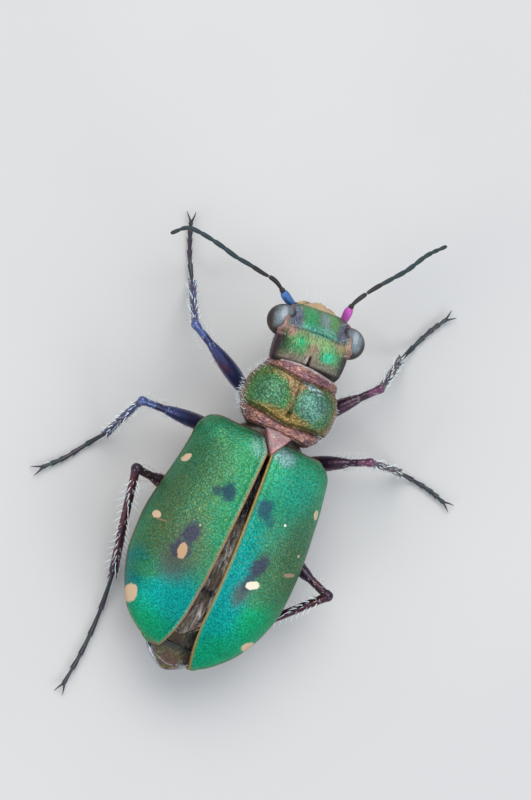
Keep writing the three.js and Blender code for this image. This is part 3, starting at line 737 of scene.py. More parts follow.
def eye_surface():
    s = Surface(
        "eye", (0.035, 0.025, 0.02), 0.36, 0.0, NECK, HEAD_YAW,
        Specular_IOR_Level=0.22, Coat_Weight=0.06, Coat_Roughness=0.25,
    )
    s.mottle(3.0, 3, 0.45, 0.65, (0.09, 0.05, 0.035), 0.8)
    # Painted sheen: pale blue-grey patches and a bright streak on the visible part of each eye.
    for side in (-1, 1):
        s.spot((side * 1.36, 1.58), (0.22, 0.34), 0, (0.34, 0.43, 0.48), 0.85, 0.5, 0.35, 5)
        s.spot((side * 1.14, 1.86), (0.14, 0.16), 0, (0.30, 0.36, 0.42), 0.75, 0.5, 0.35, 5)
        s.spot((side * 1.3, 1.72), (0.1, 0.22), 0, (0.62, 0.72, 0.76), 0.85, 0.6, 0.3, 6)
    facets = s.cells(38)
    s.mix(s.span(facets, 0.2, 0.6), (0.02, 0.018, 0.016), 0.55)
    s.raise_by(facets, -0.006)
    return s.finish(0.6)


def scutellum_surface():
    s = Surface("scutellum_cuticle", (0.42, 0.2, 0.2), 0.35, 0.6, Specular_IOR_Level=0.6)
    s.mottle(4, 3, 0.42, 0.6, (0.34, 0.26, 0.24), 0.8)
    # The dark outline is painted shadow of the gap round the shield.
    s.tint("rim", (0.07, 0.025, 0.03), 0.95)
    s.raise_by(s.noise(22, 3, stretch=(0.4, 1.8, 1)), 0.022)
    s.raise_by(s.cells(14), -0.008)
    return s.finish(0.7)


# Dark metallic cuticle of a leg, in blotches of three colours, with a tint of its own at the knee.
def leg_surface(name, base, second, third, knee):
    s = Surface(name, base, 0.3, 0.65, Specular_IOR_Level=0.6, Coat_Weight=0.2, Coat_Roughness=0.15)
    s.mottle(1.1, 2, 0.42, 0.6, second, 0.85)
    s.mottle(1.7, 2, 0.55, 0.68, third, 0.8, (1, 1, 1.4))
    s.tint("knee", knee, 0.7)
    s.raise_by(s.cells(16), -0.012)
    s.raise_by(s.noise(40, 2), 0.006)
    return s.finish(0.6)


def antenna_surface(name):
    s = Surface(name, (0.02, 0.026, 0.03), 0.42, 0.35)
    s.tint("base", (0.03, 0.05, 0.05), 0.8)
    # The first joint's blue on the left feeler and magenta on the right are painted sheen.
    if name.endswith("left"):
        s.tint("scape", (0.07, 0.20, 0.50), 0.85)
    else:
        s.tint("scape", (0.62, 0.10, 0.50), 0.9)
    s.tint("bare", (0.03, 0.014, 0.018), 0.75)
    s.tint("joint", (0.55, 0.42, 0.28), 0.7)
    s.tint("down", (0.03, 0.05, 0.058), 0.8)
    s.raise_by(s.noise(45, 2), 0.012)
    return s.finish(0.6)


def lip_surface():
    s = Surface("lip", (0.50, 0.31, 0.15), 0.38, 0.0, Subsurface_Weight=0.15, Subsurface_Scale=0.0003)
    s.mottle(4, 3, 0.45, 0.65, (0.60, 0.42, 0.24), 0.7)
    s.tint("tip", (0.05, 0.03, 0.02), 0.95)
    s.raise_by(s.noise(25, 3), 0.012)
    return s.finish(0.5)


# Veined brown membrane of the folded wings.
def wing_surface():
    s = Surface("folded_wing", (0.20, 0.155, 0.12), 0.30, 0.0, Specular_IOR_Level=0.7, Coat_Weight=0.3)
    s.mottle(2.4, 4, 0.42, 0.62, (0.46, 0.40, 0.32), 0.85, (2.5, 0.6, 1))
    s.mottle(3.1, 4, 0.55, 0.68, (0.05, 0.035, 0.03), 0.85, (2.0, 0.8, 1))
    s.tint("vein", (0.11, 0.055, 0.03), 0.85)
    s.tint("pale", (0.66, 0.64, 0.60), 0.8)
    s.tint("shade", (0.012, 0.012, 0.016), 0.97)
    s.raise_by(s.noise(14, 4, stretch=(1.8, 0.6, 1)), 0.03)
    return s.finish(0.7)


def belly_surface(name, base, second):
    s = Surface(name, base, 0.34, 0.55, Specular_IOR_Level=0.6, Coat_Weight=0.15)
    s.mottle(0.9, 3, 0.42, 0.6, second, 0.8)
    s.tint("seam", (0.02, 0.015, 0.012), 0.85)
    s.tint("tail", (0.13, 0.06, 0.035), 0.7)
    s.mix(s.times(s.mask("tail"), s.span(s.noise(3.5, 2), 0.45, 0.6)), (0.10, 0.11, 0.035), 0.8)
    s.tint("flap", (0.26, 0.28, 0.26), 0.85)
    s.tint("edge", (0.34, 0.37, 0.45), 0.85)
    s.raise_by(s.cells(9, 0.3), -0.02)
    s.raise_by(s.noise(24, 3), 0.01)
    return s.finish(0.7)


def hair_surface():
    s = Surface("bristles", (0.93, 0.92, 0.90), 0.5, 0.0, Subsurface_Weight=0.4, Subsurface_Scale=0.0002)
    s.mottle(2.0, 2, 0.45, 0.6, (0.80, 0.78, 0.74), 0.6)
    return s.material


# Rises from 0 to 1, slowly at both ends.
def ease(t):
    return 0.5 - 0.5 * np.cos(np.pi * t)


# Stations along the body, closer together at the ends.
def stations(a, b, count, ends):
    t = np.linspace(0, 1, count)
    return a + (b - a) * ((1 - ends) * t + ends * ease(t))


# Wing case: a domed shell with a raised rim, shoulder bump and shallow hollows, folded under at its side.
def elytron(side):
    sign = SIDES[side]
    rows, columns, fold = 190, 96, 12
    y = stations(ELYTRA_TIP, ELYTRA_FRONT, rows, 0.5)
    half = value_at(ELYTRA_HALF, y)
    if side == "left":
        half = half * (1 - LEFT_TUCK * bell(y + 1, 1.5))
    top = value_at(ELYTRA_TOP, y)
    bend = ramp(y, -6, -1.6) ** 1.6
    tip_bend = LEFT_TIP_BEND if side == "left" else RIGHT_TIP_BEND
    seam = SUTURE + tip_bend * bend + clamp(y + 0.02) * 0.66
    start = np.arccos(np.minimum(seam / half, 0.995) ** (ELYTRA_SECTION / 2))
    angle = start[:, None] * np.linspace(1, 0, columns)[None]
    half, top = half[:, None], top[:, None]
    x = half * power(np.cos(angle), 2 / ELYTRA_SECTION)
    z = RIM + (top - RIM) * power(np.sin(angle), 2 / ELYTRA_SECTION)
    under = np.linspace(0, 1, fold + 1)[None, 1:]
    tuck = np.minimum(0.34, half * 0.2)
    fold_x = half - tuck * ease(under)
    fold_z = RIM - 0.07 * np.sin(np.pi * under) - 0.02 * under + 0 * half
    x = np.concatenate([x, fold_x], 1)
    z = np.concatenate([z, fold_z], 1)
    if side == "left":
        y = y + LEFT_TIP_SHORTER * ramp(y, -6.1, -1.5) ** 2
    grid = np.stack([sign * x, np.repeat(y[:, None], x.shape[1], 1), z], 2)
    normal = smooth_grid_normals(grid)
    if normal[rows // 2, columns // 2, 2] < 0:
        normal = -normal
    gx, gy = np.abs(grid[..., 0]), grid[..., 1]
    from_seam = np.cumsum(np.linalg.norm(np.diff(grid, axis=1, prepend=grid[:, :1]), axis=2), 1)
    from_side = np.abs(from_seam[:, columns - 1][:, None] - from_seam)
    from_front = ELYTRA_FRONT - gy
    from_tip = gy - y[0]
    near_seam = np.where(gy < 0.3, from_seam, from_seam * 1.2)
    rim = np.minimum.reduce([near_seam, from_side * 0.8, from_front, from_tip + 0.03])
    lift = 0.035 * bell(rim - 0.03, 0.035) - 0.03 * bell(rim - 0.13, 0.05)
    for height, across, wide, along_body, long in ELYTRON_HUMPS:
        lift += height * bell(gx - across, wide) * bell(gy - along_body, long)
    lift += 0.018 * rough(grid, 1.1, sign) + 0.0025 * rough(grid, 0.2, sign)
    grid = grid + normal * lift[..., None]
    roll = 0.5 * clamp(1 - from_front / 0.14) ** 2
    grid[..., 2] -= roll * 0.3
    edge = clamp(np.exp(-((np.minimum(from_side * 0.7, near_seam) / 0.055) ** 2)))
    edge = np.maximum(edge, bell(np.clip(from_front - 0.02, 0, 9), 0.05) * 0.8)
    edge = np.maximum(edge, bell(np.clip(from_tip, 0, 9), 0.05))
    inner = bell(from_seam, 0.06) * (gy < 0)
    form = Form().add_plate(grid, ELYTRON_THICKNESS, edge=edge, seam=inner)
    form.moved(lambda p: turn(p, sign * OPENING, np.array([sign * SUTURE, 0, 0])))
    form.build(f"wing_case_{side}", elytron_surface(side), "elytra", [f"elytron_{side}"])


def scutellum():
    length, shift, height = 0.8, 0.05, 4.04
    u, v = shares(40, 41)
    wide = 0.035 + 0.465 * v**0.92
    x = wide * u + shift
    y = -0.02 + length * v + 0.05 * (1 - u**2) * v**3
    y = np.broadcast_to(y, x.shape)
    rim = np.minimum(wide - np.abs(x - shift), clamp((1 - v) * length + 0.02))
    z = height - 0.05 * v - 0.1 * (x / 0.5) ** 2
    z += 0.035 * bell(rim, 0.045) - 0.03 * bell(rim - 0.2, 0.12)
    grid = np.stack([x, y, z], 2)
    grid[..., 2] += 0.008 * rough(grid, 0.12, 3)
    # The edge mask carries the painted shadow of the gap round the shield.
    form = Form().add_plate(grid, 0.3, rim=bell(rim, 0.035))
    form.build("shield", scutellum_surface(), "copper", ["scutellum"])


# Folded hind wings: crumpled, pleated membranes with raised veins, the left one lying over the right.
def folded_wings():
    form = Form()
    for layer, (shift, drop, seed) in enumerate([(0.1, 0.06, 4), (-0.12, 0.0, 9)]):
        u, v = shares(300, 70)
        hind = WING_TIP + 0.72 * clamp(u - 0.05) ** 1.2 - 0.1 * layer
        gy = hind + (WING_ROOT - hind) * v
        wide = value_at([[-6.8, 0.62], [-6.2, 0.7], [-4.5, 0.72], [-2, 0.6], [-0.2, 0.3]], gy)
        x = wide * u + shift * clamp(-gy / 4)
        top = value_at(ELYTRA_TOP, gy) - BELOW_ELYTRA - drop
        flat = np.stack([x, gy, 0 * x], 2)
        slope = x + 0.11 * gy + 0.07 * np.sin(gy * 1.7 + seed) + 0.16 * rough(flat * [0.6, 1, 1], 0.9, seed)
        pleat = np.abs(((slope * 3.1 + seed * 0.37) % 1) - 0.5) * 2
        cross = bell(((gy + 0.5 * x + seed * 0.1) % 1.15) - 0.6, 0.05)
        z = top - 0.12 * x**2 + 0.09 * pleat - 0.06 * cross
        z += 0.05 * bell(gy - hind, 0.05) - 0.10 * bell(gy - hind - 0.2, 0.09)
        grid = np.stack([x, gy, z], 2)
        grid[..., 2] += 0.06 * rough(grid, 0.4, seed) + 0.03 * rough(grid, 0.15, seed)
        vein = clamp(bell(pleat - 1, 0.16) + 0.6 * cross)
        grid[..., 2] += 0.02 * vein
        ridge = 1 - np.abs(rough(flat * [2.6, 0.75, 1], 0.42, seed + 5)) * 7
        streak = clamp(ridge) * clamp(rough(flat * [1.4, 0.7, 1], 0.5, seed + 8) * 4 + 0.5)
        grid[..., 2] += 0.05 * streak
        pale = streak * 1.1 + 0.7 * bell(gy + 5.0 - 0.4 * x, 0.07) * bell(x - 0.2, 0.12)
        shade = bell(pleat, 0.25) * 0.8 + ramp(gy, -2.7, 0.7) * 1.1
        shade += bell(gy + 5.05, 0.16) * 0.9
        form.add_plate(grid, MEMBRANE, vein=vein, pale=clamp(pale), shade=clamp(shade))
    form.build("wings_folded", wing_surface(), "membrane", ["hind_wings_folded"])


# Rings moved outwards by the lift.
def raised(rings, lift):
    normal = smooth_grid_normals(rings, wrap=True)
    if ((rings - rings.mean(1, keepdims=True)) * normal).sum() < 0:
        normal = -normal
    return rings + normal * lift[..., None]


# Rings of a rounded section along the body. crest is the share of the height at which it is widest.
def body_rings(y, half, top, bottom, sides, high_power=2.2, low_power=2.2, crest=0.5):
    angle = 2 * np.pi * (np.arange(sides) + 0.5) / sides
    c, s = np.cos(angle)[None], np.sin(angle)[None]
    exponent = np.where(s > 0, high_power, low_power)
    reach = (np.abs(c) ** exponent + np.abs(s) ** exponent) ** (-1 / exponent)
    waist = bottom + (top - bottom) * crest
    x = half[:, None] * reach * c
    z = waist[:, None] + np.where(s > 0, (top - waist)[:, None], (waist - bottom)[:, None]) * reach * s
    up = power(reach * s, exponent / 2)
    return np.stack([x, np.repeat(y[:, None], sides, 1), z], 2), np.broadcast_to(up, x.shape)


def prothorax():
    y = stations(0.78, 3.14, 130, 0.4)
    half = value_at(PRONOTUM_HALF, y)
    rings, up = body_rings(y, half, value_at(PRONOTUM_TOP, y), value_at(PRONOTUM_BOTTOM, y), 220, 2.3, 2.1)
    x, gy = rings[..., 0], rings[..., 1]
    bow = 0.06 * bell(x + 0.1, 0.8) * clamp(gy - 2.7) / 0.44
    upper = clamp(up * 3)
    hind = 1.2 - 0.12 * bell(x, 0.7) + 0.05 * np.abs(x)
    front = 2.78 - 0.1 * bell(x, 0.6) + 0.04 * np.abs(x)
    domes = bell(x + 0.83, 0.52) * bell(gy - 1.87, 0.52) + bell(x - 0.76, 0.5) * bell(gy - 1.98, 0.5)
    lift = 0.24 * domes
    reach = ramp(gy, 1.35, 0.15) * ramp(gy, 2.75, -0.2)
    line = bell(x + 0.04 * (gy - 1.5), 0.035) * reach
    from_dome = np.hypot((x - 0.76) / 0.64, (gy - 1.98) / 0.6)
    arc = bell(from_dome - 1, 0.055) * ramp(gy, 2.1, 0.25)
    pit = bell(x + 0.01, 0.07) * bell(gy - 1.46, 0.12)
    lift -= 0.07 * line + 0.16 * pit + 0.035 * arc
    lift -= 0.16 * bell(gy - hind, 0.085) * (1 + 0.5 * bell(np.abs(x) - 1.0, 0.3))
    lift -= 0.13 * bell(gy - front, 0.06)
    lift += 0.05 * bell(gy - 0.88, 0.05) + 0.04 * bell(gy - 3.08, 0.03)
    band = ramp(gy, hind, -0.06) + ramp(gy, front, 0.06)
    lift += 0.012 * band * rough(rings * [1, 4, 1], 0.28, 2)
    lift += 0.010 * rough(rings, 0.14, 5) + 0.012 * rough(rings, 0.4, 6)
    side_rim = bell(up - 0.12, 0.1)
    lift = lift * upper + 0.03 * side_rim
    rings = raised(rings, lift) + np.stack([0.05 + 0 * bow, bow, 0 * bow], 2)
    form = Form().add_rings(
        rings,
        hem=bell(gy - 3.11, 0.04) * upper,
        rim=clamp(band * 0.95 * upper + bell(up - 0.13, 0.12) * 0.9),
        # Painted shade in the median line, its pit and the arc groove.
        line=clamp(line * 0.9 + pit + 0.8 * arc) * upper,
        # Painted shade in the hind and front grooves.
        deep=clamp(bell(gy - hind, 0.04) * 0.3 + bell(gy - front, 0.03) * 0.4) * upper,
        flank=clamp(0.5 - up * 3.5),
    )
    form.build("pronotum", pronotum_surface(), "cuticle", ["prothorax"])


def head():
    y = stations(-0.1, 2.3, 150, 0.5)
    half = value_at(HEAD_HALF, y)
    rings, up = body_rings(y, half, value_at(HEAD_TOP, y), value_at(HEAD_BOTTOM, y), 300, 3.0, 2.1, 0.6)
    x, gy = rings[..., 0], rings[..., 1]
    side = np.abs(x)
    upper = clamp(up * 3)
    brow_x = BROW - 0.3 * clamp(gy - 1.75) ** 1.2 + 0.16 * bell(gy - 1.05, 0.16)
    length = ramp(gy, 1.0, 0.12) * ramp(gy, 2.25, -0.12)
    brow = bell(side - brow_x, 0.05) * length
    hook = bell(gy - 1.03, 0.05) * ramp(side, 1.1, 0.08) * clamp(up * 4)
    socket = bell(side - brow_x - 0.08, 0.03) * length * ramp(gy, 2.0, -0.2)
    from_furrow = gy - 1.36 - 0.05 * np.cos(2 * x)
    furrow = bell(from_furrow, 0.03) * bell(x, 0.7)
    lift = 0.14 * brow - 0.05 * socket - 0.10 * bell(side - 0.82, 0.22) * bell(gy - 1.75, 0.42)
    lift += 0.08 * hook
    lift -= 0.05 * bell(x, 0.45) * bell(gy - 1.75, 0.35)
    lift += 0.05 * bell(side - 0.57, 0.3) * bell(gy - 0.75, 0.3)
    groove = bell(x + 0.02, 0.04) * ramp(gy, 0.1, 0.06) * ramp(gy, 0.6, -0.12)
    lift -= 0.10 * groove
    glint = bell(x + 0.1, 0.035) * bell(gy - 0.4, 0.16)
    lift += 0.04 * glint
    lift -= 0.05 * bell(from_furrow, 0.05) * bell(x, 0.7)
    lift += 0.008 * rough(rings * [3.0, 0.6, 1], 0.3, 4) + 0.008 * rough(rings, 0.16, 5)
    temple = ramp(side, 1.0, 0.2) * ramp(gy, 1.1, -0.2)
    temple += np.clip(0.5 - up, 0, 0.3) / 0.3
    form = Form().add_rings(
        raised(rings, lift * upper),
        rim=clamp(brow * 1.1 + hook) * upper,
        flank=clamp(temple),
        neck=ramp(gy, 0.62, -0.25),
        pitted=clamp(bell(side - 0.86, 0.25) * bell(gy - 1.7, 0.45) * 1.4),
        glint=glint,
        # Painted shade: the groove, the line outside the eye rims, the furrow and the strip in front of the
        # pronotum's edge.
        deep=clamp(groove * 1.4 + socket + 0.6 * furrow + ramp(gy, 0.3, -0.1)) * upper,
    )
    form.moved(on_head).build("head_capsule", head_surface(), "cuticle", ["head"])


def eye(side):
    sign = SIDES[side]
    rows, columns = 60, 90
    long, wide, high = EYE_RADII
    a = np.linspace(0.02, np.pi - 0.02, rows)[:, None]
    b = np.linspace(0, 2 * np.pi, columns, endpoint=False)
    x, y, z = wide * np.cos(a), long * np.sin(a) * np.cos(b), high * np.sin(a) * np.sin(b)
    ball = turn(np.stack([np.broadcast_to(x, y.shape), y, z], 2), sign * EYE_TURN, np.zeros(3))
    form = Form().add_rings(ball + [sign * EYE_CENTRE[0], *EYE_CENTRE[1:]])
    form.moved(on_head).build(f"compound_eye_{side}", EYE, "eye", [f"eye_{side}"])


# Upper lip: an arched plate with three small teeth at its front edge.
def labrum():
    u, v = shares(40, 80)
    reach = 0.16 + 0.2 * (1 - u**2) + 0.04 * bell(u, 0.1) + 0.03 * bell(np.abs(u) - 0.28, 0.08)
    x = 0.62 * u * (1 - 0.1 * v**2)
    y = 2.22 + v * reach * 1.05
    z = 3.2 - 0.5 * v ** 1.4 - 0.16 * u ** 2
    grid = np.stack([x, y, z], 2)
    form = Form().add_plate(grid, 0.09, tip=clamp((v - 0.9) * 8) * 0.6)
    form.moved(on_head).build("upper_lip", LIP, "lip", ["labrum"])


# Sickle jaw with teeth on its inner edge and a dark point.
def mandible(side):
    sign = SIDES[side]
    form = Form()
    ends = [[0.6, 1.95, 2.42], [0.68, 2.2, 2.36], [0.46, 2.46, 2.3], [0.08, 2.54, 2.24]]
    ends = [[sign * x, y, z + 0.06 * sign * (0.7 - x)] for x, y, z in ends]
    count, sides, cap = 40, 18, 6
    path = smooth_path(ends, count)
    tube(form, path, lambda t: 0.23 * (1 - t) ** 0.7 + 0.025, sides, 0.62, cap, tip=0.0)
    rings = count + 2 * cap
    dark = clamp((np.arange(rings) - 0.5 * rings) / 14)
    form.masks["tip"][0][1][: rings * sides] = np.repeat(dark, sides)
    for share, size in ((0.38, 0.17), (0.56, 0.15), (0.72, 0.12)):
        root = path[int(share * (count - 1))]
        inwards = np.array([-sign * size, 0, 0])
        tooth = [root, root + inwards + [0, -0.05, -0.02], root + 1.4 * inwards + [0, -0.02, -0.03]]
        tube(form, smooth_path(tooth, 8), lambda t: 0.07 * (1 - t) + 0.012, 10, 0.8, tip=0.9)
    form.moved(on_head).build(f"jaw_{side}", LIP, "lip", [f"mandible_{side}"])


# Four-jointed palp, each joint swelling towards its end.
def palp(name, node, knots, thick):
    form = Form()
    path = smooth_path(knots, 60)
    wide = lambda t: thick * (0.72 + 0.4 * t - 0.25 * t**4)
    for i, (first, last) in enumerate(zip(PALP_CUTS, PALP_CUTS[1:])):
        part = part_of(path, first, last, 4, 14)
        tube(form, part, wide, 14, cap=3, bare=0.7 - i * 0.2)
    form.moved(on_head).build(name, PALP, "antenna", [node])


# Feeler of eleven joints: a stout one, a bead, two bare ones and seven matt downy ones to the tip.
def antenna(node, knots):
    form = Form()
    path = smooth_path(knots, 420)
    cuts = np.concatenate([[0], np.cumsum(ANTENNA_JOINTS)])
    cuts = cuts / cuts[-1]
    for i, radius in enumerate(ANTENNA_RADII):
        part = part_of(path, cuts[i], cuts[i + 1], 6, 20)
        bare = i < BARE_JOINTS
        swell = 0.35 if bare else 0.12
        belly = lambda t: swell * t**2 + 0.25 * math.sin(math.pi * t) ** 0.6 - 0.1 * t**8
        # The first joint's mask carries the painted sheen of the feeler's material.
        tube(
            form, part, lambda t: radius * (0.78 + belly(t)), 14, cap=4,
            base=float(bare), scape=float(i == 0), bare=float(bare and i > 0), down=float(not bare),
        )
        if i:
            at = int(cuts[i] * (len(path) - 1))
            collar = smooth_path(path[at - 3 : at + 4 : 3], 6)
            tube(form, collar, lambda t: radius * 0.62, 12, cap=2, joint=1.0)
    name = node.replace("antenna", "feeler")
    form.build(name, antenna_surface(name), "antenna", [node])


# Thorax: underside and sides with plates parted by seams, the back, and the dark neck to the pronotum.
def thorax():
    y = stations(-2.8, 0.6, 90, 0.3)
    half = value_at(THORAX_HALF, y)
    low = value_at(THORAX_BOTTOM, y)
    rings, up = body_rings(y, half, np.full(len(y), UNDERSIDE_TOP), low, 180, 2.4, 1.9, 0.75)
    x, gy = rings[..., 0], rings[..., 1]
    seams = bell(gy + 0.35 - 0.35 * np.abs(x) / 2, 0.045) + bell(gy + 1.45 + 0.2 * np.abs(x), 0.045)
    seams = seams + bell(x, 0.03) * (up < 0) + bell(up + 0.35, 0.05)
    lift = -0.06 * clamp(seams) + 0.012 * rough(rings, 0.25, 8)
    form = Form().add_rings(raised(rings, lift), seam=clamp(seams))
    upper = value_at([[-2.8, 1.85], [-0.6, 1.85], [0, 1.7], [0.35, 1.5], [0.6, 1.35]], y)
    high = value_at([[-2.8, 3.3], [-0.6, 3.3], [0, 3.45], [0.6, 3.3]], y)
    back, _ = body_rings(y, upper, high, np.full(len(y), 1.9), 80, 2.6, 2.6)
    form.add_rings(back, seam=0.3)
    y = stations(-0.1, 1.1, 30, 0.3)
    wide = value_at([[-0.1, 1.45], [0.4, 1.4], [0.8, 1.0], [1.1, 0.9]], y)
    high = value_at([[-0.1, 3.6], [0.4, 3.68], [0.8, 3.72], [1.1, 3.7]], y)
    neck, _ = body_rings(y, wide, high, np.full(len(y), 2.1), 100, 2.6, 2.4)
    form.add_rings(raised(neck, 0.02 * rough(neck, 0.2, 3)), seam=1.0)
    surface = belly_surface("thorax_cuticle", (0.22, 0.08, 0.07), (0.05, 0.12, 0.06))
    form.build("thorax_plates", surface, "copper", ["thorax"])


# Abdomen of overlapping rings, seen between the parted wing cases and from below.
def abdomen():
    form = Form()
    tip = -7.92 + 0.5 * (1 - np.cos(np.linspace(0.05, np.pi / 2, 30)))
    y = np.concatenate([tip, np.linspace(-7.4, -2.6, 130)])
    half = value_at(ABDOMEN_HALF, y) * np.sqrt(clamp(1 - (np.clip(-7.3 - y, 0, 1) / 0.63) ** 2))
    low = value_at(ABDOMEN_BOTTOM, y)
    rings, up = body_rings(y, half, np.full(len(y), UNDERSIDE_TOP), low, 180, 2.4, 1.9, 0.8)
    gy = rings[..., 1]
    step = ((gy + 7.9) / RING_LENGTH) % 1
    lift = 0.05 * step - 0.05 * bell(step, 0.06) + 0.010 * rough(rings, 0.2, 8)
    lift *= ramp(gy, -7.9, 0.25)
    seams = bell(np.minimum(step, 1 - step), 0.045)
    tail = ramp(gy, -7.0, -0.4)
    edge = bell(up - 0.3, 0.3) * ramp(gy, -7.0, -0.2)
    form.add_rings(raised(rings, lift), seam=seams, tail=tail, edge=edge)
    # Back plates, each lying over the next one's front edge.
    for number, (front, hind) in enumerate(BACK_PLATES):
        u, v = shares(40, 90)
        last = number == len(BACK_PLATES) - 1
        bowed = 0.45 if last else 0.12
        gy = front + (hind - front) * v * (1 - bowed * u ** 2)
        x = value_at(BACK_PLATE_HALF, gy) * u
        top = np.maximum(np.minimum(value_at(ELYTRA_TOP, gy) - 0.95, 3.0), 2.28)
        z = top - (top - 2.25) * np.abs(u) ** 2.6 + 0.03 * v
        grid = np.stack([x, gy, z], 2)
        grid[..., 2] += 0.02 * rough(grid, 0.25, number) + 0.012 * rough(grid, 0.09, number)
        form.add_plate(
            grid, 0.06,
            seam=bell(v - 0.05, 0.06),
            tail=0.9 * (number > 3) * bell(x + 0.1, 0.5),
            edge=0.6 * last * bell(v - 1, 0.05),
            flap=last * bell(x - 0.42, 0.2) * bell(v - 0.45, 0.3),
        )
    surface = belly_surface("abdomen_cuticle", (0.045, 0.035, 0.035), (0.03, 0.06, 0.05))
    form.build("abdomen_rings", surface, "abdomen", ["abdomen"])


def toe_points(spec):
    return [np.array([x, y, TARSUS_HEIGHT]) for x, y in spec["toes"]]


def leg(name, spec):
    surface = LEG[name]
    root, hip, knee, ankle = (np.array(spec[k], float) for k in ("root", "hip", "knee", "ankle"))
    bumps = lambda rings: 0.006 * rough(rings, 0.12, 2)

    form = Form()
    line = smooth_path([root + [0, 0, 0.15], (root + hip) / 2, hip], 24)
    tube(form, line, lambda t: 0.34 - 0.06 * t, 28, relief=bumps)
    form.build(f"coxal_joint_{name}", HIP, "copper", [f"coxa_{name}"])

    form = Form()
    outwards = unit(knee - hip)
    ring = smooth_path([hip, hip + outwards * 0.2, hip + outwards * 0.34], 12)
    tube(form, ring, lambda t: 0.2 + 0.06 * math.sin(math.pi * t), 20, cap=5, knee=0.5)
    bow = np.array([0, 0, 0.12])
    count, sides, cap, marked = 70, 26, 7, 12
    line = smooth_path([hip + outwards * 0.3, (hip + knee) / 2 + bow, knee], count)
    wide = spec["femur"]
    swell = lambda t: 0.5 * math.sin(math.pi * min(t * 1.25 + 0.12, 1)) ** 0.8 * (1 - 0.25 * t)
    tube(form, line, lambda t: wide * (0.5 + swell(t) - 0.06 * t), sides, 1.1, cap, bumps, knee=0.0)
    form.masks["knee"][-1][1][(count + cap - marked) * sides :] = 1.0
    ball = 0.19 if name.startswith("hind") else 0.155
    joint = smooth_path([knee - outwards * 0.1, knee, knee + outwards * 0.02], 8)
    tube(form, joint, lambda t: ball, 20, cap=5, knee=1.0)
    form.build(f"thigh_{name}", surface, "leg", [f"femur_{name}"])

    form = Form()
    down = unit(ankle - knee)
    line = smooth_path([knee, (knee + ankle) / 2 + 0.03 * outwards, ankle], 60)
    shin = 0.145 if name.startswith("hind") else 0.125
    taper = lambda t: shin + 0.02 * math.exp(-((t / 0.06) ** 2)) + 0.02 * t**3
    tube(form, line, taper, 18, cap=5, relief=bumps)
    aside = sideways(down)
    front = np.cross(down, aside)
    for sign in (-1, 1):
        middle = ankle + down * 0.2 + aside * sign * 0.12
        point = ankle + down * 0.36 + aside * sign * 0.16 + front * 0.05
        spur = smooth_path([ankle, middle, point], 10)
        spur[:, 2] = np.maximum(spur[:, 2], SPUR_HEIGHT)
        tube(form, spur, lambda t: 0.045 * (1 - t) + 0.006, 8, cap=2, knee=0.3)
    form.build(f"shin_{name}", surface, "leg", [f"tibia_{name}"])

    form = Form()
    path = smooth_path([ankle, *toe_points(spec)], 240)
    path[:, 2] = np.maximum(path[:, 2], LOWEST_SOLE)
    for first, last in zip(TARSUS_CUTS, TARSUS_CUTS[1:]):
        part = part_of(path, first, last, 5, 18)
        clawed = last == TARSUS_CUTS[-1]
        base = 0.07 if clawed else 0.085
        tube(form, part, lambda t: base * (0.75 + 0.4 * t**2), 14, cap=4, knee=0.1)
        end, ahead = part[-1], unit(part[-1] - part[-3])
        beside = sideways(ahead)
        for sign in (-1, 1):
            if clawed:
                shape = ((0, 0, 0), (0.16, 0.07, 0.07), (0.34, 0.14, 0.02), (0.42, 0.16, -0.06))
                claw = [end + ahead * on + beside * sign * out + [0, 0, up] for on, out, up in shape]
                tube(form, smooth_path(claw, 14), lambda t: 0.042 * (1 - t) + 0.006, 8, cap=2)
            else:
                outer = end + beside * sign * 0.11 + ahead * 0.09 - [0, 0, 0.02]
                spine = smooth_path([end + beside * sign * 0.05, outer], 5)
                tube(form, spine, lambda t: 0.016 * (1 - t) + 0.004, 6, cap=1)
    form.build(f"foot_{name}", FOOT, "leg", [f"tarsus_{name}"])


# A bristle has three rings of four points and a tip. Each ring has a share of the length and of the width.
HAIR_RINGS = ((0.0, 1.0), (0.45, 0.8), (0.8, 0.45))
HAIR_CORNERS = np.array([[1, 0], [0, 1], [-1, 0], [0, -1]])
HAIR_TIP = 12
HAIR_FACES = grid_faces(3, 4, wrap=True)
HAIR_FACES += [[8 + k, 8 + (k + 1) % 4, HAIR_TIP] for k in range(4)] + [[3, 2, 1, 0]]


# Fine bristles: each is a thin bent cone. Its patch for baking is its root's place on an unwrap.
class Bristles:
    def __init__(self):
        self.points = []
        self.faces = []
        self.patches = []

    def grow(self, root, ahead, length, thick=0.012, droop=(0, 0, 0), patch=(0.5, 0.5)):
        ahead = unit(np.asarray(ahead, float))
        start = len(self.points)
        side = unit(np.cross(ahead, [0.31, 0.52, 0.79]))
        up = np.cross(ahead, side)
        droop = np.array(droop) * length
        for share, wide in HAIR_RINGS:
            centre = root + ahead * length * (share - 0.04) + droop * share**2
            self.points += [centre + (side * c + up * s) * thick * wide for c, s in HAIR_CORNERS]
        self.points.append(root + ahead * length + droop)
        self.faces += [[start + i for i in face] for face in HAIR_FACES]
        self.patches += [patch] * (HAIR_TIP + 1)

    def build(self, name, surface, slot):
        mesh = mesh_of(name, self.points, self.faces, surface)
        layer = mesh.uv_layers.new(name="OFBake")
        corner = np.zeros(len(mesh.loops), np.int32)
        mesh.loops.foreach_get("vertex_index", corner)
        index = corner % (HAIR_TIP + 1)
        shift = np.stack([np.cos(index * 0.7), np.sin(index * 0.7)], 1) * 0.0012
        where = np.array(self.patches)[corner] + shift
        layer.data.foreach_set("uv", np.clip(where, 0.001, 0.999).astype(np.float32).ravel())
        piece_of(mesh)


def along(a, b, share):
    return a * (1 - share) + b * share


def either_side():
    return random.choice((-1, 1))


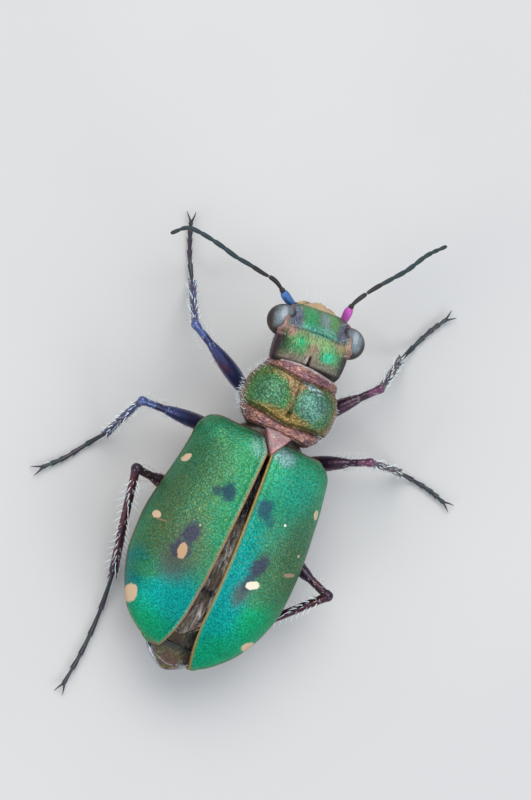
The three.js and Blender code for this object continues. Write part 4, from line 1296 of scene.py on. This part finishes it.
# A direction square to the way onward, at an angle round it.
def round_about(onward, angle):
    aside = sideways(onward)
    return aside * math.cos(angle) + np.cross(aside, onward) * math.sin(angle)


# Place of a leg's bristle on the unwrap of the legs.
def leg_patch(leg_number, share, angle):
    return 0.06 + 0.15 * leg_number + 0.1 * share, 0.1 + 0.12 * angle


# White bristles scattered over the legs, in rows down the shins and, shorter, along the feet.
def leg_bristles():
    hairs = Bristles()
    for number, (name, spec) in enumerate(LEGS.items()):
        hip, knee, ankle = (np.array(spec[k], float) for k in ("hip", "knee", "ankle"))
        hind = name.startswith("hind")
        for start, end, radius, count, length in (
            (hip, knee, spec["femur"] * 0.8, 110, 0.22), (knee, ankle, 0.12, 100 if hind else 80, 0.2),
        ):
            onward = unit(end - start)
            for _ in range(count):
                share = between(0.08, 0.96)
                angle = between(0, 2 * math.pi)
                out = round_about(onward, angle)
                root = along(start, end, share) + out * radius
                lean = onward * between(0.5, 1.1) + out * between(0.5, 1.0)
                size = length * between(0.6, 1.15)
                hairs.grow(root, lean, size, 0.009, onward * 0.1, leg_patch(number, share, angle))
        onward = unit(ankle - knee)
        for share in np.linspace(0.1, 0.95, 15 if hind else 9):
            for angle in (0.5, 1.9, 3.5, 5.1):
                out = round_about(onward, angle + share * 3)
                size = between(0.24, 0.42) if hind else between(0.16, 0.26)
                root = along(knee, ankle, share) + out * 0.12
                patch = leg_patch(number, share, angle)
                hairs.grow(root, out + onward * 0.7, size, 0.02, onward * 0.1, patch)
        path = smooth_path([ankle, *toe_points(spec)], 60)
        for _ in range(70):
            i = random.randrange(4, 56)
            onward = unit(path[i + 2] - path[i])
            aside = sideways(onward) * either_side()
            root = path[i] + aside * 0.06
            root[2] = max(root[2], LOWEST_SOLE)
            patch = (0.06 + 0.15 * number, 0.95)
            hairs.grow(root, onward + aside * 0.7, between(0.08, 0.16), 0.008, patch=patch)
    hairs.build("leg_bristles", HAIR, "leg")


# White fringe at the sides of the body, and a few long hairs on the upper lip and the head.
def body_bristles():
    hairs = Bristles()
    for _ in range(420):
        sign = either_side()
        y = between(0.95, 2.95)
        half = value_at(PRONOTUM_HALF, y)
        low, high = value_at(PRONOTUM_BOTTOM, y), value_at(PRONOTUM_TOP, y)
        angle = between(-1.1, 0.55)
        root = [sign * half * math.cos(angle) ** 0.9, y, (low + high + (high - low) * math.sin(angle)) / 2]
        rise = math.sin(angle) + between(-0.2, 0.5)
        lean = [sign * math.cos(angle), between(-0.5, 0.6), rise]
        patch = (0.1 + 0.25 * y / 3, 0.3 + 0.1 * angle)
        hairs.grow(root, lean, between(0.1, 0.24), 0.009, (0, 0, 0.05), patch)
    for _ in range(700):
        sign = either_side()
        y = between(-7.2, 0.3)
        table, floor = (THORAX_HALF, THORAX_BOTTOM) if y > WAIST else (ABDOMEN_HALF, ABDOMEN_BOTTOM)
        half, low = value_at(table, y), value_at(floor, y)
        drop = between(0.0, 1.0)
        reach = (1 - drop**1.9) ** (1 / 1.9)
        root = [sign * half * reach, y, 2.05 - (2.05 - low) * drop]
        lean = [sign * (0.5 + reach), -0.9, -0.5 - drop * 0.5]
        patch = (0.4 + 0.05 * y, 0.5 + 0.3 * drop)
        hairs.grow(root, lean, between(0.12, 0.26), 0.009, (0, 0, -0.05), patch)
    for _ in range(120):
        sign = either_side()
        y = between(0.3, 1.2)
        angle = between(-0.9, 0.5)
        half = value_at(HEAD_HALF, y)
        root = on_head([sign * half * math.cos(angle), y, 3.25 + 0.9 * math.sin(angle)])
        lean = [sign, between(-0.3, 0.3), between(-0.2, 0.6)]
        hairs.grow(root, lean, between(0.08, 0.16), 0.007, (0, 0, 0), (0.8, 0.5 + 0.2 * angle))
    for u in np.linspace(-0.85, 0.85, 8):
        root = on_head([0.6 * u, 2.46 + 0.24 * (1 - u * u), 2.82 - 0.15 * u * u])
        ahead = on_head([0.75 * u, 3.2, 2.65]) - root
        hairs.grow(root, ahead, between(0.28, 0.42), 0.008, (0, 0, -0.15), (0.9, 0.5 + 0.1 * u))
    for sign in (-1, 1):
        for x, y, z in ((0.82, 1.45, 4.08), (0.72, 2.0, 3.8), (1.02, 0.95, 4.02)):
            root = on_head([sign * x, y, z])
            hairs.grow(root, (sign * 0.5, 0.3, 1), 0.35, 0.008, (0, 0, 0), (0.95, 0.7))
    hairs.build("body_bristles", HAIR, "cuticle")


EYE = eye_surface()
LIP = lip_surface()
PALP = antenna_surface("palps")
HAIR = hair_surface()
leg_surfaces = [leg_surface(name, *colours) for name, colours in LEG_COLOURS.items()]
HIP, BLUE_LEG, ROSE_LEG, DARK_LEG, FOOT = leg_surfaces
LEG = {
    "front_left": BLUE_LEG, "front_right": ROSE_LEG, "middle_left": BLUE_LEG,
    "middle_right": ROSE_LEG, "hind_left": DARK_LEG, "hind_right": DARK_LEG,
}

for half_name, way in SIDES.items():
    elytron(half_name)
    eye(half_name)
    mandible(half_name)
    mirror = np.array([way, 1, 1])
    palp(f"outer_palp_{half_name}", f"palp_maxillary_{half_name}", mirror * OUTER_PALP, 0.12)
    palp(f"inner_palp_{half_name}", f"palp_labial_{half_name}", mirror * INNER_PALP, 0.11)
scutellum()
folded_wings()
prothorax()
head()
labrum()
thorax()
abdomen()
for feeler, knots in ANTENNAE.items():
    antenna(feeler, knots)
for leg_name, leg_spec in LEGS.items():
    leg(leg_name, leg_spec)
leg_bristles()
body_bristles()


# Pale floor, soft light and the camera at the photograph's angle. Here lengths are in metres.
FLOOR_HALF = 0.6
# Place, size, energy and colour of each lamp. All point at the origin.
LAMPS = {
    "key": ((-0.09, 0.16, 0.30), 0.30, 0.75, (1.0, 0.98, 0.95)),
    "fill": ((0.22, -0.10, 0.20), 0.20, 0.3, (0.9, 0.95, 1.0)),
    "rear": ((-0.15, -0.20, 0.12), 0.12, 0.2, (1.0, 0.95, 0.9)),
}


def floor():
    surface = Surface("floor", (0.62, 0.61, 0.59), 0.75, 0.0)
    surface.mottle(0.05, 2, 0.4, 0.6, (0.58, 0.57, 0.56), 0.5)
    mesh = bpy.data.meshes.new("floor")
    corners = [(x * FLOOR_HALF, y * FLOOR_HALF, 0) for x, y in ((-1, -1), (1, -1), (1, 1), (-1, 1))]
    mesh.from_pydata(corners, [], [[0, 1, 2, 3]])
    mesh.materials.append(surface.material)
    in_scene(mesh)


def lights():
    world = bpy.data.worlds.new("studio")
    world.use_nodes = True
    background = world.node_tree.nodes["Background"]
    background.inputs["Color"].default_value = (0.80, 0.88, 1.0, 1)
    background.inputs["Strength"].default_value = 0.62
    bpy.context.scene.world = world
    for name, (place, size, energy, colour) in LAMPS.items():
        lamp = bpy.data.lights.new(name, "AREA")
        lamp.shape = "DISK"
        lamp.size = size
        lamp.energy = energy
        lamp.color = colour
        made = in_scene(lamp)
        made.location = place
        made.rotation_euler = (-Vector(place)).to_track_quat("-Z", "Y").to_euler()


# What the camera aims at and the height of its view, in millimetres, and its directions.
CAMERA_AIM = np.array([-0.61, 1.81, 2.5])
CAMERA_BACK = unit(np.array([-0.156, -0.139, 0.978]))
CAMERA_UP_SHARES = (0.9115, -0.411)
VIEW_HEIGHT = 27.28
LENS = 150
SENSOR = 36


def camera():
    lens = bpy.data.cameras.new("camera")
    lens.lens = LENS
    lens.sensor_width = SENSOR
    lens.sensor_fit = "AUTO"
    lens.clip_start = 0.001
    lens.clip_end = 10
    forward = unit(np.array([0, 1, 0]) - CAMERA_BACK * CAMERA_BACK[1])
    rightward = unit(np.array([1, 0, 0]) - CAMERA_BACK * CAMERA_BACK[0])
    up = forward * CAMERA_UP_SHARES[0] + rightward * CAMERA_UP_SHARES[1]
    up = unit(up - CAMERA_BACK * np.dot(up, CAMERA_BACK))
    right = np.cross(up, CAMERA_BACK)
    distance = VIEW_HEIGHT * LENS / SENSOR
    place = (CAMERA_AIM + CAMERA_BACK * distance) * MM + ORIGIN
    rows = np.array([right, up, CAMERA_BACK]).T
    made = in_scene(lens)
    made.matrix_world = Matrix.Translation(Vector(place)) @ Matrix(rows.tolist()).to_4x4()
    bpy.context.scene.camera = made


floor()
lights()
camera()
bpy.context.scene.view_settings.view_transform = "Standard"
